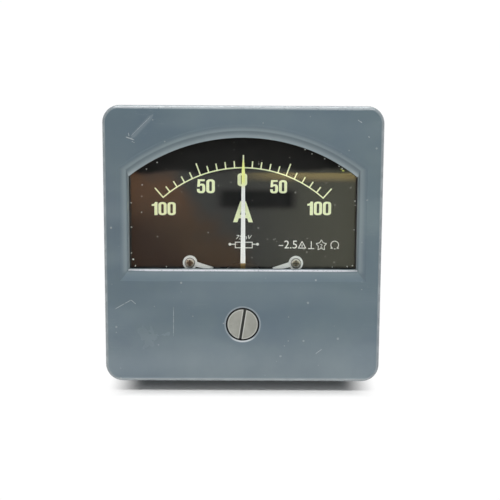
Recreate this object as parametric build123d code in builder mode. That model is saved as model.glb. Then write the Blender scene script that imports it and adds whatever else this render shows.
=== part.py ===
from build123d import *
import math
import os

os.makedirs("parts", exist_ok=True)

# Square moving-coil panel meter, in millimetres.
# X runs right and Z up as seen from the front, and Y runs into the panel.
# The origin is the middle of the cover's back rim, which lies on the panel at Y 0.
panel_y = 0.0

# Cover
face_size = 80.0
face_corner_r = 5.0
cover_depth = 15.0
cover_wall = 2.5
front_wall = 2.6
front_edge_r = 1.2

# Window: straight foot and sides under a round arch, cut with a bevel and a rounded lip
window_inset = 7.0
window_arch_inset = 9.05
window_foot_rise = 6.9
window_arch_drop = 9.2
lip_side = 0.35
lip_foot = 0.45
lip_arch = 1.8
bevel_side = 2.1
bevel_foot = 2.7
bevel_arch = 1.7
bevel_depth = 1.7
lip_depth = 0.9
window_wall = 4.2

# Glass with its gasket and retainer
glass_lap = 2.0
glass_thick = 2.0
glass_gap = 0.2
gasket_thick = 0.5
gasket_inset = 0.3
collar_wall = 1.2
retainer_thick = 0.8
retainer_inset = 0.9
ear_r = 2.2
ear_out = 1.6
ear_angle = 31.0
ear_inset = 3.0

# Zero adjuster in the cover
adjuster_drop = 8.85
adjuster_r = 4.45
adjuster_hole_r = 4.88
adjuster_rim = 0.2
adjuster_flange_r = 5.4
adjuster_boss_r = 6.6
adjuster_flange_thick = 0.85
boss_height = 0.9
adjuster_slot_w = 0.8
adjuster_slot_depth = 1.2
adjuster_slot_tilt = 8.7
crank_r = 1.2
crank_pin_r = 0.4
seal_width = 1.0
plate_thick = 0.3
plate_hole_r = 3.2
plate_post_x = 9.5
plate_post_r = 0.9
plate_post_rise = 0.4
plate_end_r = 2.0

# Running and fastening clearances
running_gap = 0.05
fit_gap = 0.05
seal_gap = 0.03

# Housing
flange_edge_gap = 0.2
flange_thick = 2.5
panel_gasket_thick = 1.2
barrel_r = 32.0
barrel_wall = 2.5
barrel_depth = 45.0
rear_wall = 2.5
barrel_edge_r = 2.0
pillar_x = 20.5
pillar_z = 17.0
pillar_r = 3.2
pillar_pilot_depth = 9.0
terminal_x = 14.0
terminal_boss_r = 6.5
terminal_boss_height = 1.0

# Cover screws and panel studs
cover_screw_inset = 6.0
cover_screw_offset = 8.5
cover_screw_r = 1.2
cover_screw_head_r = 2.3
cover_screw_length = 7.0
cover_boss_r = 2.8
stud_inset = 7.5
stud_r = 1.5
stud_shank_r = 1.7
stud_reach = 16.0
stud_head_r = 3.0
stud_head_thick = 1.2
stud_tip = 0.4

# Dial
dial_side_lap = 0.15
dial_arch_lap = 1.45
dial_foot_rise = 2.6
dial_thick = 0.8
dial_cut_r = 7.8
dial_screw_x = 15.8
dial_screw_rise = 7.8
dial_screw_r = 0.95
dial_screw_head_r = 1.5
dial_screw_head_thick = 1.0
dial_screw_dome = 0.45
dial_screw_depth = 2.6
dial_cross_w = 0.38
dial_cross_span = 1.95
dial_cross_depth = 0.55
dial_post_r = 2.4

# Scale
scale_inset = 8.85
scale_half_angle = 41.0
scale_divisions = 10
scale_line_w = 0.36
scale_tick_w = 0.38
scale_long_tick = 3.9
scale_short_tick = 2.2
ink_thick = 0.1

# Pointer and its stops
pivot_z = -14.0
swing_angle = 49.5
pointer_thick = 0.35
pointer_foot_r = 8.0
pointer_foot_half = 0.72
pointer_shoulder_back = 1.1
pointer_shoulder_half = 0.48
pointer_neck_out = 2.5
pointer_neck_half = 0.2
pointer_tip_out = 3.8
pointer_tip_half = 0.14
stop_thick = 0.4
stop_ring_r = 2.15
stop_root_w = 1.7
stop_tip_w = 0.9
stop_reach = 10.9
stop_gap = 0.15
stop_rise = 2.8

# Hub, cross arms and balance weights
hub_disc_r = 2.0
hub_disc_thick = 0.6
sleeve_r = 0.9
sleeve_length = 2.1
hub_arm_w = 1.5
hub_arm_r = 10.0
hub_arm_thick = 0.4
rod_r = 0.3
side_rod_reach = 6.2
side_weight_r = 0.7
side_weight_length = 1.8
side_weight_place = 4.6
tail_rod_reach = 8.2
tail_weight_r = 1.4
tail_weight_length = 3.0
tail_weight_place = 6.2

# Coil, magnet and yoke
core_r = 7.0
core_length = 12.0
coil_side_gap = 0.6
coil_half_height = 2.5
former_thick = 0.25
winding_thick = 0.75
coil_end_gap = 0.8
yoke_in_r = 9.5
yoke_out_r = 14.0
yoke_rear_gap = 0.6
holder_width = 4.6

# Staffs, jewels and hairsprings
staff_r = 0.4
pivot_r = 0.2
staff_base_r = 1.6
staff_base_thick = 0.5
jewel_r = 0.75
jewel_thick = 0.7
jewel_cup_depth = 0.6
jewel_gap = 0.3
jewel_lead = 0.5
jewel_screw_r = 1.25
jewel_slot_w = 0.4
jewel_slot_depth = 0.5
pivot_end_play = 0.1
hair_width = 0.4
hair_thick = 0.12
hair_turns = 3
hair_steps = 12
hair_end_gap = 0.02
jewel_nut_half = 2.0
jewel_nut_thick = 0.8

# Bridges, zero lever and rear spring anchor
bridge_thick = 0.8
bridge_half_height = 2.0
front_leg_x = 11.3
bridge_bend_r = 0.9
front_foot_x = 17.6
front_screw_x = 15.5
rear_leg_x = 10.0
rear_foot_x = 13.7
rear_screw_x = 12.3
rear_head_r = 1.4
lever_thick = 0.3
lever_ring_r = 2.4
lever_arm_w = 2.6
lever_fork_past = 1.55
lever_slot_before = 1.05
lever_slot_gap = 0.12
tab_r = 2.6
tab_thick = 0.4
tab_half = 0.6
anchor_tail_r = 6.5
anchor_tail_w = 1.6

# Movement plate and its screws
plate_sheet = 1.5
plate_bore_margin = 0.1
plate_edge_r = 2.6
plate_window_w = 24.0
plate_window_h = 13.0
plate_window_z = 8.0
plate_window_r = 3.0
post_height = 1.5
small_screw_r = 0.95
small_head_r = 1.8
small_head_thick = 0.9
long_screw_r = 1.0
long_screw_bite = 1.2

# Stack of the movement along Y, from the pointer
pointer_rear_y = -6.85
hair_front_y = -8.3
rear_hair_lead = 0.6

# Series resistor
bobbin_z = 15.0
bobbin_r = 6.0
bobbin_core_r = 3.2
bobbin_length = 11.0
bobbin_cheek = 1.0
bobbin_wire_r = 5.0
bobbin_screw_r = 1.2
bobbin_head_r = 2.6
bobbin_head_thick = 1.4
bobbin_screw_bite = 1.9

# Terminals
terminal_r = 2.5
terminal_head_half = 4.0
terminal_head_thick = 3.0
terminal_reach = 12.0
terminal_washer_r = 5.0
terminal_washer_thick = 1.0
terminal_nut_half = 4.0
terminal_nut_thick = 3.2
lug_thick = 0.6
lug_ring_r = 4.2
lug_tail_w = 3.0
lug_tail_reach = 9.5

# Internal leads
lead_r = 0.6
lead_bend_r = 3.0
lead_overlap = 2.0

# Planes of the stack that follow from the sizes above
face_y = panel_y - cover_depth
inner_y = face_y + front_wall
ledge_y = face_y + window_wall
glass_front_y = ledge_y + gasket_thick
glass_rear_y = glass_front_y + glass_thick
retainer_rear_y = glass_rear_y + retainer_thick
flange_rear_y = panel_y - panel_gasket_thick
flange_front_y = flange_rear_y - flange_thick
dial_rear_y = flange_front_y
dial_front_y = dial_rear_y - dial_thick
plate_front_y = dial_rear_y + post_height
plate_rear_y = plate_front_y + plate_sheet
barrel_rear_y = panel_y + barrel_depth
barrel_floor_y = barrel_rear_y - rear_wall
jewel_face_y = hair_front_y - jewel_gap
front_bridge_rear_y = jewel_face_y - jewel_lead
front_bridge_y = front_bridge_rear_y - bridge_thick
lever_front_y = front_bridge_y - lever_thick
front_nut_y = lever_front_y - jewel_nut_thick
winding_front_y = plate_rear_y
core_front_y = winding_front_y + winding_thick + former_thick + coil_end_gap
core_rear_y = core_front_y + core_length
winding_rear_y = core_rear_y + coil_end_gap + former_thick + winding_thick
yoke_rear_y = core_rear_y + yoke_rear_gap
rear_hair_y = winding_rear_y + staff_base_thick + rear_hair_lead
rear_jewel_face_y = rear_hair_y + hair_width + jewel_gap
rear_bridge_y = rear_jewel_face_y + jewel_lead
rear_bridge_rear_y = rear_bridge_y + bridge_thick
anchor_rear_y = rear_bridge_rear_y + lever_thick
rear_nut_rear_y = anchor_rear_y + jewel_nut_thick

# Places and outlines that follow from the sizes above
face_half = face_size / 2
window_half = face_half - window_inset
window_foot_z = pivot_z + window_foot_rise
window_arch_z = pivot_z - window_arch_drop
window_top_z = face_half - window_arch_inset
window_arch_r = window_top_z - window_arch_z
ear_foot_x = window_half - ear_inset
adjuster_z = pivot_z - adjuster_drop
stud_place = face_half - stud_inset
cover_screw_x = stud_place - cover_screw_offset
cover_screw_z = face_half - cover_screw_inset
dial_half = window_half + dial_side_lap
dial_arch_r = window_arch_r + dial_arch_lap
dial_foot_z = pivot_z + dial_foot_rise
dial_screw_z = pivot_z + dial_screw_rise
scale_r = window_top_z - scale_inset - pivot_z
pointer_shoulder_r = scale_r - pointer_shoulder_back
pointer_neck_r = scale_r + pointer_neck_out
pointer_tip_r = scale_r + pointer_tip_out
lever_fork_r = adjuster_drop - crank_r + lever_fork_past
lever_slot_r = adjuster_drop - crank_r - lever_slot_before
cavity_size = face_size - 2 * cover_wall
cavity_corner_r = face_corner_r - cover_wall
flange_size = cavity_size - 2 * flange_edge_gap
collar_margin = glass_lap + glass_gap + collar_wall
ear_arch_r = window_arch_r + collar_margin + ear_out
ear_top_x = ear_arch_r * math.sin(math.radians(ear_angle))
ear_top_z = window_arch_z + ear_arch_r * math.cos(math.radians(ear_angle))
ear_foot_z = window_foot_z - collar_margin - ear_out
ear_spots = [(side * ear_top_x, ear_top_z) for side in (-1, 1)]
ear_spots += [(side * ear_foot_x, ear_foot_z) for side in (-1, 1)]
cover_screw_spots = [(x, z) for x in (-cover_screw_x, cover_screw_x) for z in (-cover_screw_z, cover_screw_z)]
stud_spots = [(x, z) for x in (-stud_place, stud_place) for z in (-stud_place, stud_place)]
pillar_spots = [(x, z) for x in (-pillar_x, pillar_x) for z in (-pillar_z, pillar_z)]
post_spots = [(-plate_post_x, adjuster_z), (plate_post_x, adjuster_z)]
dial_screw_spots = [(-dial_screw_x, dial_screw_z), (dial_screw_x, dial_screw_z)]
terminal_spots = [(-terminal_x, 0), (terminal_x, 0)]


def level(y):
    """Plane that faces the viewer at depth y, with its x to the right and its y up"""
    return Plane.XZ.offset(-y)


def arched_outline(y, half, foot_z, arch_r):
    """Closed outline at depth y: straight foot and sides under an arch of radius arch_r"""
    shoulder_z = window_arch_z + math.sqrt(arch_r**2 - half**2)
    with BuildSketch(level(y)) as outline:
        with BuildLine():
            Polyline((-half, shoulder_z), (-half, foot_z), (half, foot_z), (half, shoulder_z))
            ThreePointArc((half, shoulder_z), (0, window_arch_z + arch_r), (-half, shoulder_z))
        make_face()
    return outline.sketch


def window_outline(y, margin):
    """The window's outline at depth y, let out by one margin all round"""
    return arched_outline(y, window_half + margin, window_foot_z - margin, window_arch_r + margin)


# Front cover: a moulded box open at the back
lip_half = window_half + lip_side
lip_foot_z = window_foot_z - lip_foot
lip_arch_r = window_arch_r + lip_arch
lip_start_y = face_y + bevel_depth
lip_end_y = lip_start_y + lip_depth
with BuildPart() as front_cover:
    with BuildSketch(level(panel_y)):
        RectangleRounded(face_size, face_size, face_corner_r)
    extrude(amount=cover_depth)
    fillet(front_cover.faces().sort_by(Axis.Y)[0].edges(), front_edge_r)
    with BuildSketch(level(panel_y)):
        RectangleRounded(cavity_size, cavity_size, cavity_corner_r)
    extrude(amount=panel_y - inner_y, mode=Mode.SUBTRACT)
    # Collar round the glass, with four bosses for its retainer
    extrude(window_outline(glass_rear_y, collar_margin), amount=glass_rear_y - inner_y)
    with BuildSketch(level(glass_rear_y)):
        with Locations(*ear_spots):
            Circle(ear_r)
    extrude(amount=glass_rear_y - inner_y)
    glass_pocket = window_outline(glass_rear_y, glass_lap + glass_gap)
    extrude(glass_pocket, amount=glass_rear_y - ledge_y, mode=Mode.SUBTRACT)
    # Window: bevel, rounded lip and straight wall
    bevel_edge = arched_outline(
        face_y, lip_half + bevel_side, lip_foot_z - bevel_foot, lip_arch_r + bevel_arch
    )
    lip_edge = arched_outline(lip_start_y, lip_half, lip_foot_z, lip_arch_r)
    wall_edge = window_outline(lip_end_y, 0)
    loft([bevel_edge, lip_edge], ruled=True, mode=Mode.SUBTRACT)
    loft([lip_edge, wall_edge], ruled=True, mode=Mode.SUBTRACT)
    extrude(window_outline(ledge_y, 0), amount=ledge_y - lip_end_y, mode=Mode.SUBTRACT)
    with BuildSketch(level(glass_rear_y)):
        with Locations(*ear_spots):
            Circle(small_screw_r + fit_gap)
    extrude(amount=glass_rear_y - ledge_y, mode=Mode.SUBTRACT)
    # Bosses for the screws that come through the housing's flange
    with BuildSketch(level(flange_front_y)):
        with Locations(*cover_screw_spots):
            Circle(cover_boss_r)
    extrude(amount=flange_front_y - inner_y)
    with BuildSketch(level(flange_front_y)):
        with Locations(*cover_screw_spots):
            Circle(cover_screw_r + fit_gap)
    extrude(amount=cover_screw_length - flange_thick + fit_gap, mode=Mode.SUBTRACT)
    # Stepped bore of the zero adjuster, with two posts for its spring plate
    with BuildSketch(level(inner_y + boss_height)):
        with Locations((0, adjuster_z)):
            Circle(adjuster_boss_r)
    extrude(amount=boss_height)
    with BuildSketch(level(inner_y + boss_height)):
        with Locations((0, adjuster_z)):
            Circle(adjuster_flange_r + running_gap)
    extrude(amount=boss_height, mode=Mode.SUBTRACT)
    with BuildSketch(level(inner_y)):
        with Locations((0, adjuster_z)):
            Circle(adjuster_hole_r)
    extrude(amount=front_wall, mode=Mode.SUBTRACT)
    bore_edge = front_cover.faces().sort_by(Axis.Y)[0].edges().filter_by(GeomType.CIRCLE)
    chamfer(bore_edge.sort_by(SortBy.LENGTH)[-1], adjuster_rim)
    with BuildSketch(level(inner_y + boss_height + plate_thick + plate_post_rise)):
        with Locations(*post_spots):
            Circle(plate_post_r)
    extrude(amount=boss_height + plate_thick + plate_post_rise)
front_cover.part.label = "front_cover"
export_step(front_cover.part, "parts/front_cover.step")

# Flat rubber gasket between the window's ledge and the glass
with BuildPart() as window_gasket:
    extrude(window_outline(glass_front_y, glass_lap), amount=gasket_thick)
    extrude(window_outline(glass_front_y, gasket_inset), amount=gasket_thick, mode=Mode.SUBTRACT)
window_gasket.part.label = "window_gasket"
export_step(window_gasket.part, "parts/window_gasket.step")

# Window glass
with BuildPart() as window_glass:
    extrude(window_outline(glass_rear_y, glass_lap), amount=glass_thick)
window_glass.part.label = "window_glass"
export_step(window_glass.part, "parts/window_glass.step")

# Sheet frame that holds the glass in its pocket
with BuildPart() as glass_retainer:
    extrude(window_outline(retainer_rear_y, collar_margin), amount=retainer_thick)
    with BuildSketch(level(retainer_rear_y)):
        with Locations(*ear_spots):
            Circle(ear_r)
    extrude(amount=retainer_thick)
    extrude(window_outline(retainer_rear_y, retainer_inset), amount=retainer_thick, mode=Mode.SUBTRACT)
    with BuildSketch(level(retainer_rear_y)):
        with Locations(*ear_spots):
            Circle(small_screw_r + fit_gap)
    extrude(amount=retainer_thick, mode=Mode.SUBTRACT)
glass_retainer.part.label = "glass_retainer"
export_step(glass_retainer.part, "parts/glass_retainer.step")

# Four small screws of the retainer
with BuildPart() as retainer_screws:
    with BuildSketch(level(retainer_rear_y)):
        with Locations(*ear_spots):
            Circle(small_screw_r)
    extrude(amount=retainer_rear_y - ledge_y)
    with BuildSketch(level(retainer_rear_y + small_head_thick)):
        with Locations(*ear_spots):
            Circle(small_head_r)
    extrude(amount=small_head_thick)
retainer_screws.part.label = "retainer_screws"
export_step(retainer_screws.part, "parts/retainer_screws.step")

# Zero adjuster: slotted disc, flange and crank pin in one piece
flange_face_y = inner_y + adjuster_flange_thick
with BuildPart() as zero_adjuster:
    with BuildSketch(level(inner_y)):
        with Locations((0, adjuster_z)):
            Circle(adjuster_r)
    extrude(amount=front_wall)
    with BuildSketch(level(flange_face_y)):
        with Locations((0, adjuster_z)):
            Circle(adjuster_flange_r)
    extrude(amount=adjuster_flange_thick)
    with BuildSketch(level(front_bridge_y)):
        with Locations((0, adjuster_z + crank_r)):
            Circle(crank_pin_r)
    extrude(amount=front_bridge_y - flange_face_y)
    with BuildSketch(level(face_y + adjuster_slot_depth)):
        with Locations(Location((0, adjuster_z, 0), (0, 0, -adjuster_slot_tilt))):
            Rectangle(adjuster_slot_w, 2 * adjuster_hole_r)
    extrude(amount=adjuster_slot_depth, mode=Mode.SUBTRACT)
zero_adjuster.part.label = "zero_adjuster"
export_step(zero_adjuster.part, "parts/zero_adjuster.step")

# Rubber ring that seals the adjuster in its bore
with BuildPart() as adjuster_seal:
    with BuildSketch(level(inner_y - seal_gap)):
        with Locations((0, adjuster_z)):
            Circle(adjuster_hole_r - seal_gap)
            Circle(adjuster_r + running_gap, mode=Mode.SUBTRACT)
    extrude(amount=seal_width)
adjuster_seal.part.label = "adjuster_seal"
export_step(adjuster_seal.part, "parts/adjuster_seal.step")

# Spring plate on the two posts behind the adjuster
spring_plate_rear_y = inner_y + boss_height + plate_thick
with BuildPart() as adjuster_plate:
    with BuildSketch(level(spring_plate_rear_y)):
        with Locations(*post_spots):
            Circle(plate_end_r)
        with Locations((0, adjuster_z)):
            Circle(adjuster_boss_r)
        make_hull()
        with Locations((0, adjuster_z)):
            Circle(plate_hole_r, mode=Mode.SUBTRACT)
        with Locations(*post_spots):
            Circle(plate_post_r + fit_gap, mode=Mode.SUBTRACT)
    extrude(amount=plate_thick)
adjuster_plate.part.label = "adjuster_plate"
export_step(adjuster_plate.part, "parts/adjuster_plate.step")

# Rear housing: square flange inside the cover's rim and a round barrel behind the panel
with BuildPart() as rear_housing:
    with BuildSketch(level(barrel_rear_y)):
        Circle(barrel_r)
    extrude(amount=barrel_rear_y - flange_rear_y)
    fillet(rear_housing.faces().sort_by(Axis.Y)[-1].edges(), barrel_edge_r)
    with BuildSketch(level(flange_rear_y)):
        RectangleRounded(flange_size, flange_size, cavity_corner_r - flange_edge_gap)
    extrude(amount=flange_thick)
    with BuildSketch(level(barrel_floor_y)):
        Circle(barrel_r - barrel_wall)
    extrude(amount=barrel_floor_y - flange_front_y, mode=Mode.SUBTRACT)
    # Pillars that carry the movement plate
    with BuildSketch(level(barrel_floor_y)):
        with Locations(*pillar_spots):
            Circle(pillar_r)
    extrude(amount=barrel_floor_y - plate_rear_y)
    with BuildSketch(level(plate_rear_y + pillar_pilot_depth)):
        with Locations(*pillar_spots):
            Circle(small_screw_r + fit_gap)
    extrude(amount=pillar_pilot_depth, mode=Mode.SUBTRACT)
    # Raised pads and holes of the terminals, and the hole of the resistor's screw
    with BuildSketch(level(barrel_rear_y + terminal_boss_height)):
        with Locations(*terminal_spots):
            Circle(terminal_boss_r)
    extrude(amount=terminal_boss_height)
    with BuildSketch(level(barrel_rear_y + terminal_boss_height)):
        with Locations(*terminal_spots):
            Circle(terminal_r + fit_gap)
    extrude(amount=terminal_boss_height + rear_wall, mode=Mode.SUBTRACT)
    with BuildSketch(level(barrel_floor_y + bobbin_screw_bite)):
        with Locations((0, bobbin_z)):
            Circle(bobbin_screw_r + fit_gap)
    extrude(amount=bobbin_screw_bite, mode=Mode.SUBTRACT)
    # Holes in the flange for the panel studs and the countersunk cover screws
    with BuildSketch(level(flange_rear_y)):
        with Locations(*stud_spots):
            Circle(stud_shank_r + fit_gap)
        with Locations(*cover_screw_spots):
            Circle(cover_screw_r + fit_gap)
    extrude(amount=flange_thick, mode=Mode.SUBTRACT)
    with BuildSketch(level(flange_rear_y)):
        with Locations(*cover_screw_spots):
            Circle(cover_screw_head_r + fit_gap)
    extrude(amount=cover_screw_head_r - cover_screw_r, taper=45, mode=Mode.SUBTRACT)
rear_housing.part.label = "rear_housing"
export_step(rear_housing.part, "parts/rear_housing.step")

# Rubber gasket that seals the meter to the panel
with BuildPart() as panel_gasket:
    with BuildSketch(level(panel_y)):
        RectangleRounded(flange_size, flange_size, cavity_corner_r - flange_edge_gap)
        Circle(barrel_r + fit_gap, mode=Mode.SUBTRACT)
        with Locations(*stud_spots):
            Circle(stud_shank_r + fit_gap, mode=Mode.SUBTRACT)
    extrude(amount=panel_gasket_thick)
panel_gasket.part.label = "panel_gasket"
export_step(panel_gasket.part, "parts/panel_gasket.step")

# Four countersunk screws that join the housing to the cover
with BuildPart() as cover_screws:
    with BuildSketch(level(flange_rear_y)):
        with Locations(*cover_screw_spots):
            Circle(cover_screw_r)
    extrude(amount=cover_screw_length)
    with BuildSketch(level(flange_rear_y)):
        with Locations(*cover_screw_spots):
            Circle(cover_screw_head_r)
    extrude(amount=cover_screw_head_r - cover_screw_r, taper=45)
cover_screws.part.label = "cover_screws"
export_step(cover_screws.part, "parts/cover_screws.step")

# Four studs that pull the meter onto the panel: head, plain shank and thread behind the panel plane
with BuildPart() as mounting_studs:
    with BuildSketch(level(panel_y + stud_reach)):
        with Locations(*stud_spots):
            Circle(stud_r)
    extrude(amount=stud_reach)
    chamfer(mounting_studs.faces().sort_by(Axis.Y)[-4:].edges(), stud_tip)
    with BuildSketch(level(panel_y)):
        with Locations(*stud_spots):
            Circle(stud_shank_r)
    extrude(amount=panel_y - flange_front_y)
    with BuildSketch(level(flange_front_y)):
        with Locations(*stud_spots):
            Circle(stud_head_r)
    extrude(amount=stud_head_thick)
mounting_studs.part.label = "mounting_studs"
export_step(mounting_studs.part, "parts/mounting_studs.step")

# Dial plate, cut round at the foot for the movement
with BuildPart() as dial_plate:
    extrude(arched_outline(dial_rear_y, dial_half, dial_foot_z, dial_arch_r), amount=dial_thick)
    with BuildSketch(level(dial_rear_y)):
        with Locations((0, pivot_z)):
            Circle(dial_cut_r)
        with Locations(*dial_screw_spots):
            Circle(dial_screw_r + fit_gap)
    extrude(amount=dial_thick, mode=Mode.SUBTRACT)
dial_plate.part.label = "dial_plate"
export_step(dial_plate.part, "parts/dial_plate.step")

# Scale printed on the dial: an arc with a tick at each division
division_angle = scale_half_angle / scale_divisions
tick_foot_r = scale_r - scale_line_w / 2
with BuildPart() as scale_marks:
    with BuildSketch(level(dial_front_y)):
        with Locations((0, pivot_z)):
            Circle(scale_r + scale_line_w / 2)
            Circle(scale_r - scale_line_w / 2, mode=Mode.SUBTRACT)
        sector_x = 2 * scale_r * math.sin(math.radians(scale_half_angle))
        sector_z = pivot_z + 2 * scale_r * math.cos(math.radians(scale_half_angle))
        with BuildLine():
            Polyline((0, pivot_z), (sector_x, sector_z), (-sector_x, sector_z), (0, pivot_z))
        make_face(mode=Mode.INTERSECT)
        for division in range(-scale_divisions, scale_divisions + 1):
            angle = math.radians(division * division_angle)
            is_long = division % (scale_divisions // 2) == 0
            length = scale_long_tick if is_long else scale_short_tick
            middle_r = tick_foot_r + length / 2
            spot = (middle_r * math.sin(angle), pivot_z + middle_r * math.cos(angle), 0)
            with Locations(Location(spot, (0, 0, -division * division_angle))):
                Rectangle(scale_tick_w, length)
    extrude(amount=ink_thick)
scale_marks.part.label = "scale_marks"
export_step(scale_marks.part, "parts/scale_marks.step")

# Two dial screws with a domed cross head, each on the ring of a pointer stop
head_seat_y = dial_front_y - stop_thick
with BuildPart() as dial_screws:
    with BuildSketch(level(head_seat_y + dial_screw_depth)):
        with Locations(*dial_screw_spots):
            Circle(dial_screw_r)
    extrude(amount=dial_screw_depth)
    with BuildSketch(level(head_seat_y)):
        with Locations(*dial_screw_spots):
            Circle(dial_screw_head_r)
    extrude(amount=dial_screw_head_thick)
    fillet(dial_screws.faces().sort_by(Axis.Y)[:2].edges(), dial_screw_dome)
    with BuildSketch(level(head_seat_y - dial_screw_head_thick + dial_cross_depth)):
        with Locations(*dial_screw_spots):
            Rectangle(dial_cross_w, dial_cross_span)
            Rectangle(dial_cross_span, dial_cross_w)
    extrude(amount=dial_cross_depth, mode=Mode.SUBTRACT)
dial_screws.part.label = "dial_screws"
export_step(dial_screws.part, "parts/dial_screws.step")

# Pointer stops: a ring lug whose tail ends in a tab bent up beside the pointer's limit
limit = math.radians(swing_angle)
edge_out = pointer_foot_half + stop_gap
corner_x = stop_reach * math.sin(limit) + edge_out * math.cos(limit)
corner_z = pivot_z + stop_reach * math.cos(limit) - edge_out * math.sin(limit)
tail_slope = math.atan2(dial_screw_z - corner_z, dial_screw_x - corner_x)
tip_x = corner_x + stop_tip_w / 2 * math.sin(tail_slope)
tip_z = corner_z - stop_tip_w / 2 * math.cos(tail_slope)
tab_place = Location((tip_x, tip_z, 0), (0, 0, math.degrees(tail_slope)))
with BuildPart() as pointer_stop_right:
    with BuildSketch(level(dial_front_y)):
        with Locations((dial_screw_x, dial_screw_z)):
            Circle(stop_root_w / 2)
        with Locations(tab_place):
            Rectangle(stop_thick, stop_tip_w, align=(Align.MIN, Align.CENTER))
        make_hull()
        with Locations((dial_screw_x, dial_screw_z)):
            Circle(stop_ring_r)
            Circle(dial_screw_r + fit_gap, mode=Mode.SUBTRACT)
    extrude(amount=stop_thick)
    with BuildSketch(level(dial_front_y)):
        with Locations(tab_place):
            Rectangle(stop_thick, stop_tip_w, align=(Align.MIN, Align.CENTER))
    extrude(amount=stop_rise)
pointer_stop_right.part.label = "pointer_stop_right"
export_step(pointer_stop_right.part, "parts/pointer_stop_right.step")

with BuildPart() as pointer_stop_left:
    mirror(pointer_stop_right.part, about=Plane.YZ)
pointer_stop_left.part.label = "pointer_stop_left"
export_step(pointer_stop_left.part, "parts/pointer_stop_left.step")

# Pointer: a tapered strip with a spear point
with BuildPart() as pointer:
    with BuildSketch(level(pointer_rear_y)):
        with BuildLine():
            side = Polyline(
                (pointer_foot_half, pivot_z + pointer_foot_r),
                (pointer_shoulder_half, pivot_z + pointer_shoulder_r),
                (pointer_neck_half, pivot_z + pointer_neck_r),
                (pointer_tip_half, pivot_z + pointer_tip_r),
            )
            mirror(side, about=Plane.YZ)
            Line(side @ 0, (-pointer_foot_half, pivot_z + pointer_foot_r))
            Line(side @ 1, (-pointer_tip_half, pivot_z + pointer_tip_r))
        make_face()
    extrude(amount=pointer_thick)
pointer.part.label = "pointer"
export_step(pointer.part, "parts/pointer.step")

# Hub: sleeve and disc on the staff, the pointer's seat and three threaded rods
sleeve_rear_y = hair_front_y + sleeve_length
rod_y = pointer_rear_y + hub_arm_thick / 2
with BuildPart() as pointer_hub:
    with BuildSketch(level(sleeve_rear_y)):
        with Locations((0, pivot_z)):
            Circle(sleeve_r)
    extrude(amount=sleeve_length)
    with BuildSketch(level(pointer_rear_y + hub_disc_thick)):
        with Locations((0, pivot_z)):
            Circle(hub_disc_r)
    extrude(amount=hub_disc_thick)
    with BuildSketch(level(pointer_rear_y + hub_arm_thick)):
        with Locations((0, pivot_z)):
            Rectangle(hub_arm_w, hub_arm_r, align=(Align.CENTER, Align.MIN))
    extrude(amount=hub_arm_thick)
    with Locations(Location((0, rod_y, pivot_z), (0, 90, 0))):
        Cylinder(rod_r, 2 * side_rod_reach)
    with Locations(Location((0, rod_y, pivot_z))):
        Cylinder(rod_r, tail_rod_reach, align=(Align.CENTER, Align.CENTER, Align.MAX))
    with BuildSketch(level(sleeve_rear_y)):
        with Locations((0, pivot_z)):
            Circle(staff_r)
    extrude(amount=sleeve_length, mode=Mode.SUBTRACT)
pointer_hub.part.label = "pointer_hub"
export_step(pointer_hub.part, "parts/pointer_hub.step")

# Balance weights: two on the side rods, and a larger one on the tail that levels out the pointer
with BuildPart() as balance_weights:
    for side_x in (-side_weight_place, side_weight_place):
        with Locations(Location((side_x, rod_y, pivot_z), (0, 90, 0))):
            Cylinder(side_weight_r, side_weight_length)
            Cylinder(rod_r, side_weight_length, mode=Mode.SUBTRACT)
    with Locations(Location((0, rod_y, pivot_z - tail_weight_place))):
        Cylinder(tail_weight_r, tail_weight_length)
        Cylinder(rod_r, tail_weight_length, mode=Mode.SUBTRACT)
balance_weights.part.label = "balance_weights"
export_step(balance_weights.part, "parts/balance_weights.step")

# Movement plate on the pillars, with two posts for the dial
with BuildPart() as movement_plate:
    with BuildSketch(level(plate_rear_y)):
        with Locations(*pillar_spots):
            Circle(plate_edge_r)
        make_hull()
        with Locations((0, pivot_z)):
            Circle(yoke_in_r + plate_bore_margin, mode=Mode.SUBTRACT)
        with Locations((0, plate_window_z)):
            RectangleRounded(plate_window_w, plate_window_h, plate_window_r, mode=Mode.SUBTRACT)
        with Locations(*pillar_spots, (-front_screw_x, pivot_z), (front_screw_x, pivot_z)):
            Circle(small_screw_r + fit_gap, mode=Mode.SUBTRACT)
        with Locations((-rear_screw_x, pivot_z), (rear_screw_x, pivot_z)):
            Circle(long_screw_r + fit_gap, mode=Mode.SUBTRACT)
    extrude(amount=plate_sheet)
    with BuildSketch(level(plate_front_y)):
        with Locations(*dial_screw_spots):
            Circle(dial_post_r)
    extrude(amount=post_height)
    with BuildSketch(level(plate_rear_y)):
        with Locations(*dial_screw_spots):
            Circle(dial_screw_r + fit_gap)
    extrude(amount=plate_sheet + post_height, mode=Mode.SUBTRACT)
movement_plate.part.label = "movement_plate"
export_step(movement_plate.part, "parts/movement_plate.step")

# Four screws that hold the plate on the pillars
with BuildPart() as plate_screws:
    with BuildSketch(level(plate_rear_y + pillar_pilot_depth - fit_gap)):
        with Locations(*pillar_spots):
            Circle(small_screw_r)
    extrude(amount=pillar_pilot_depth - fit_gap + plate_sheet)
    with BuildSketch(level(plate_front_y)):
        with Locations(*pillar_spots):
            Circle(small_head_r)
    extrude(amount=small_head_thick)
plate_screws.part.label = "plate_screws"
export_step(plate_screws.part, "parts/plate_screws.step")

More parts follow.
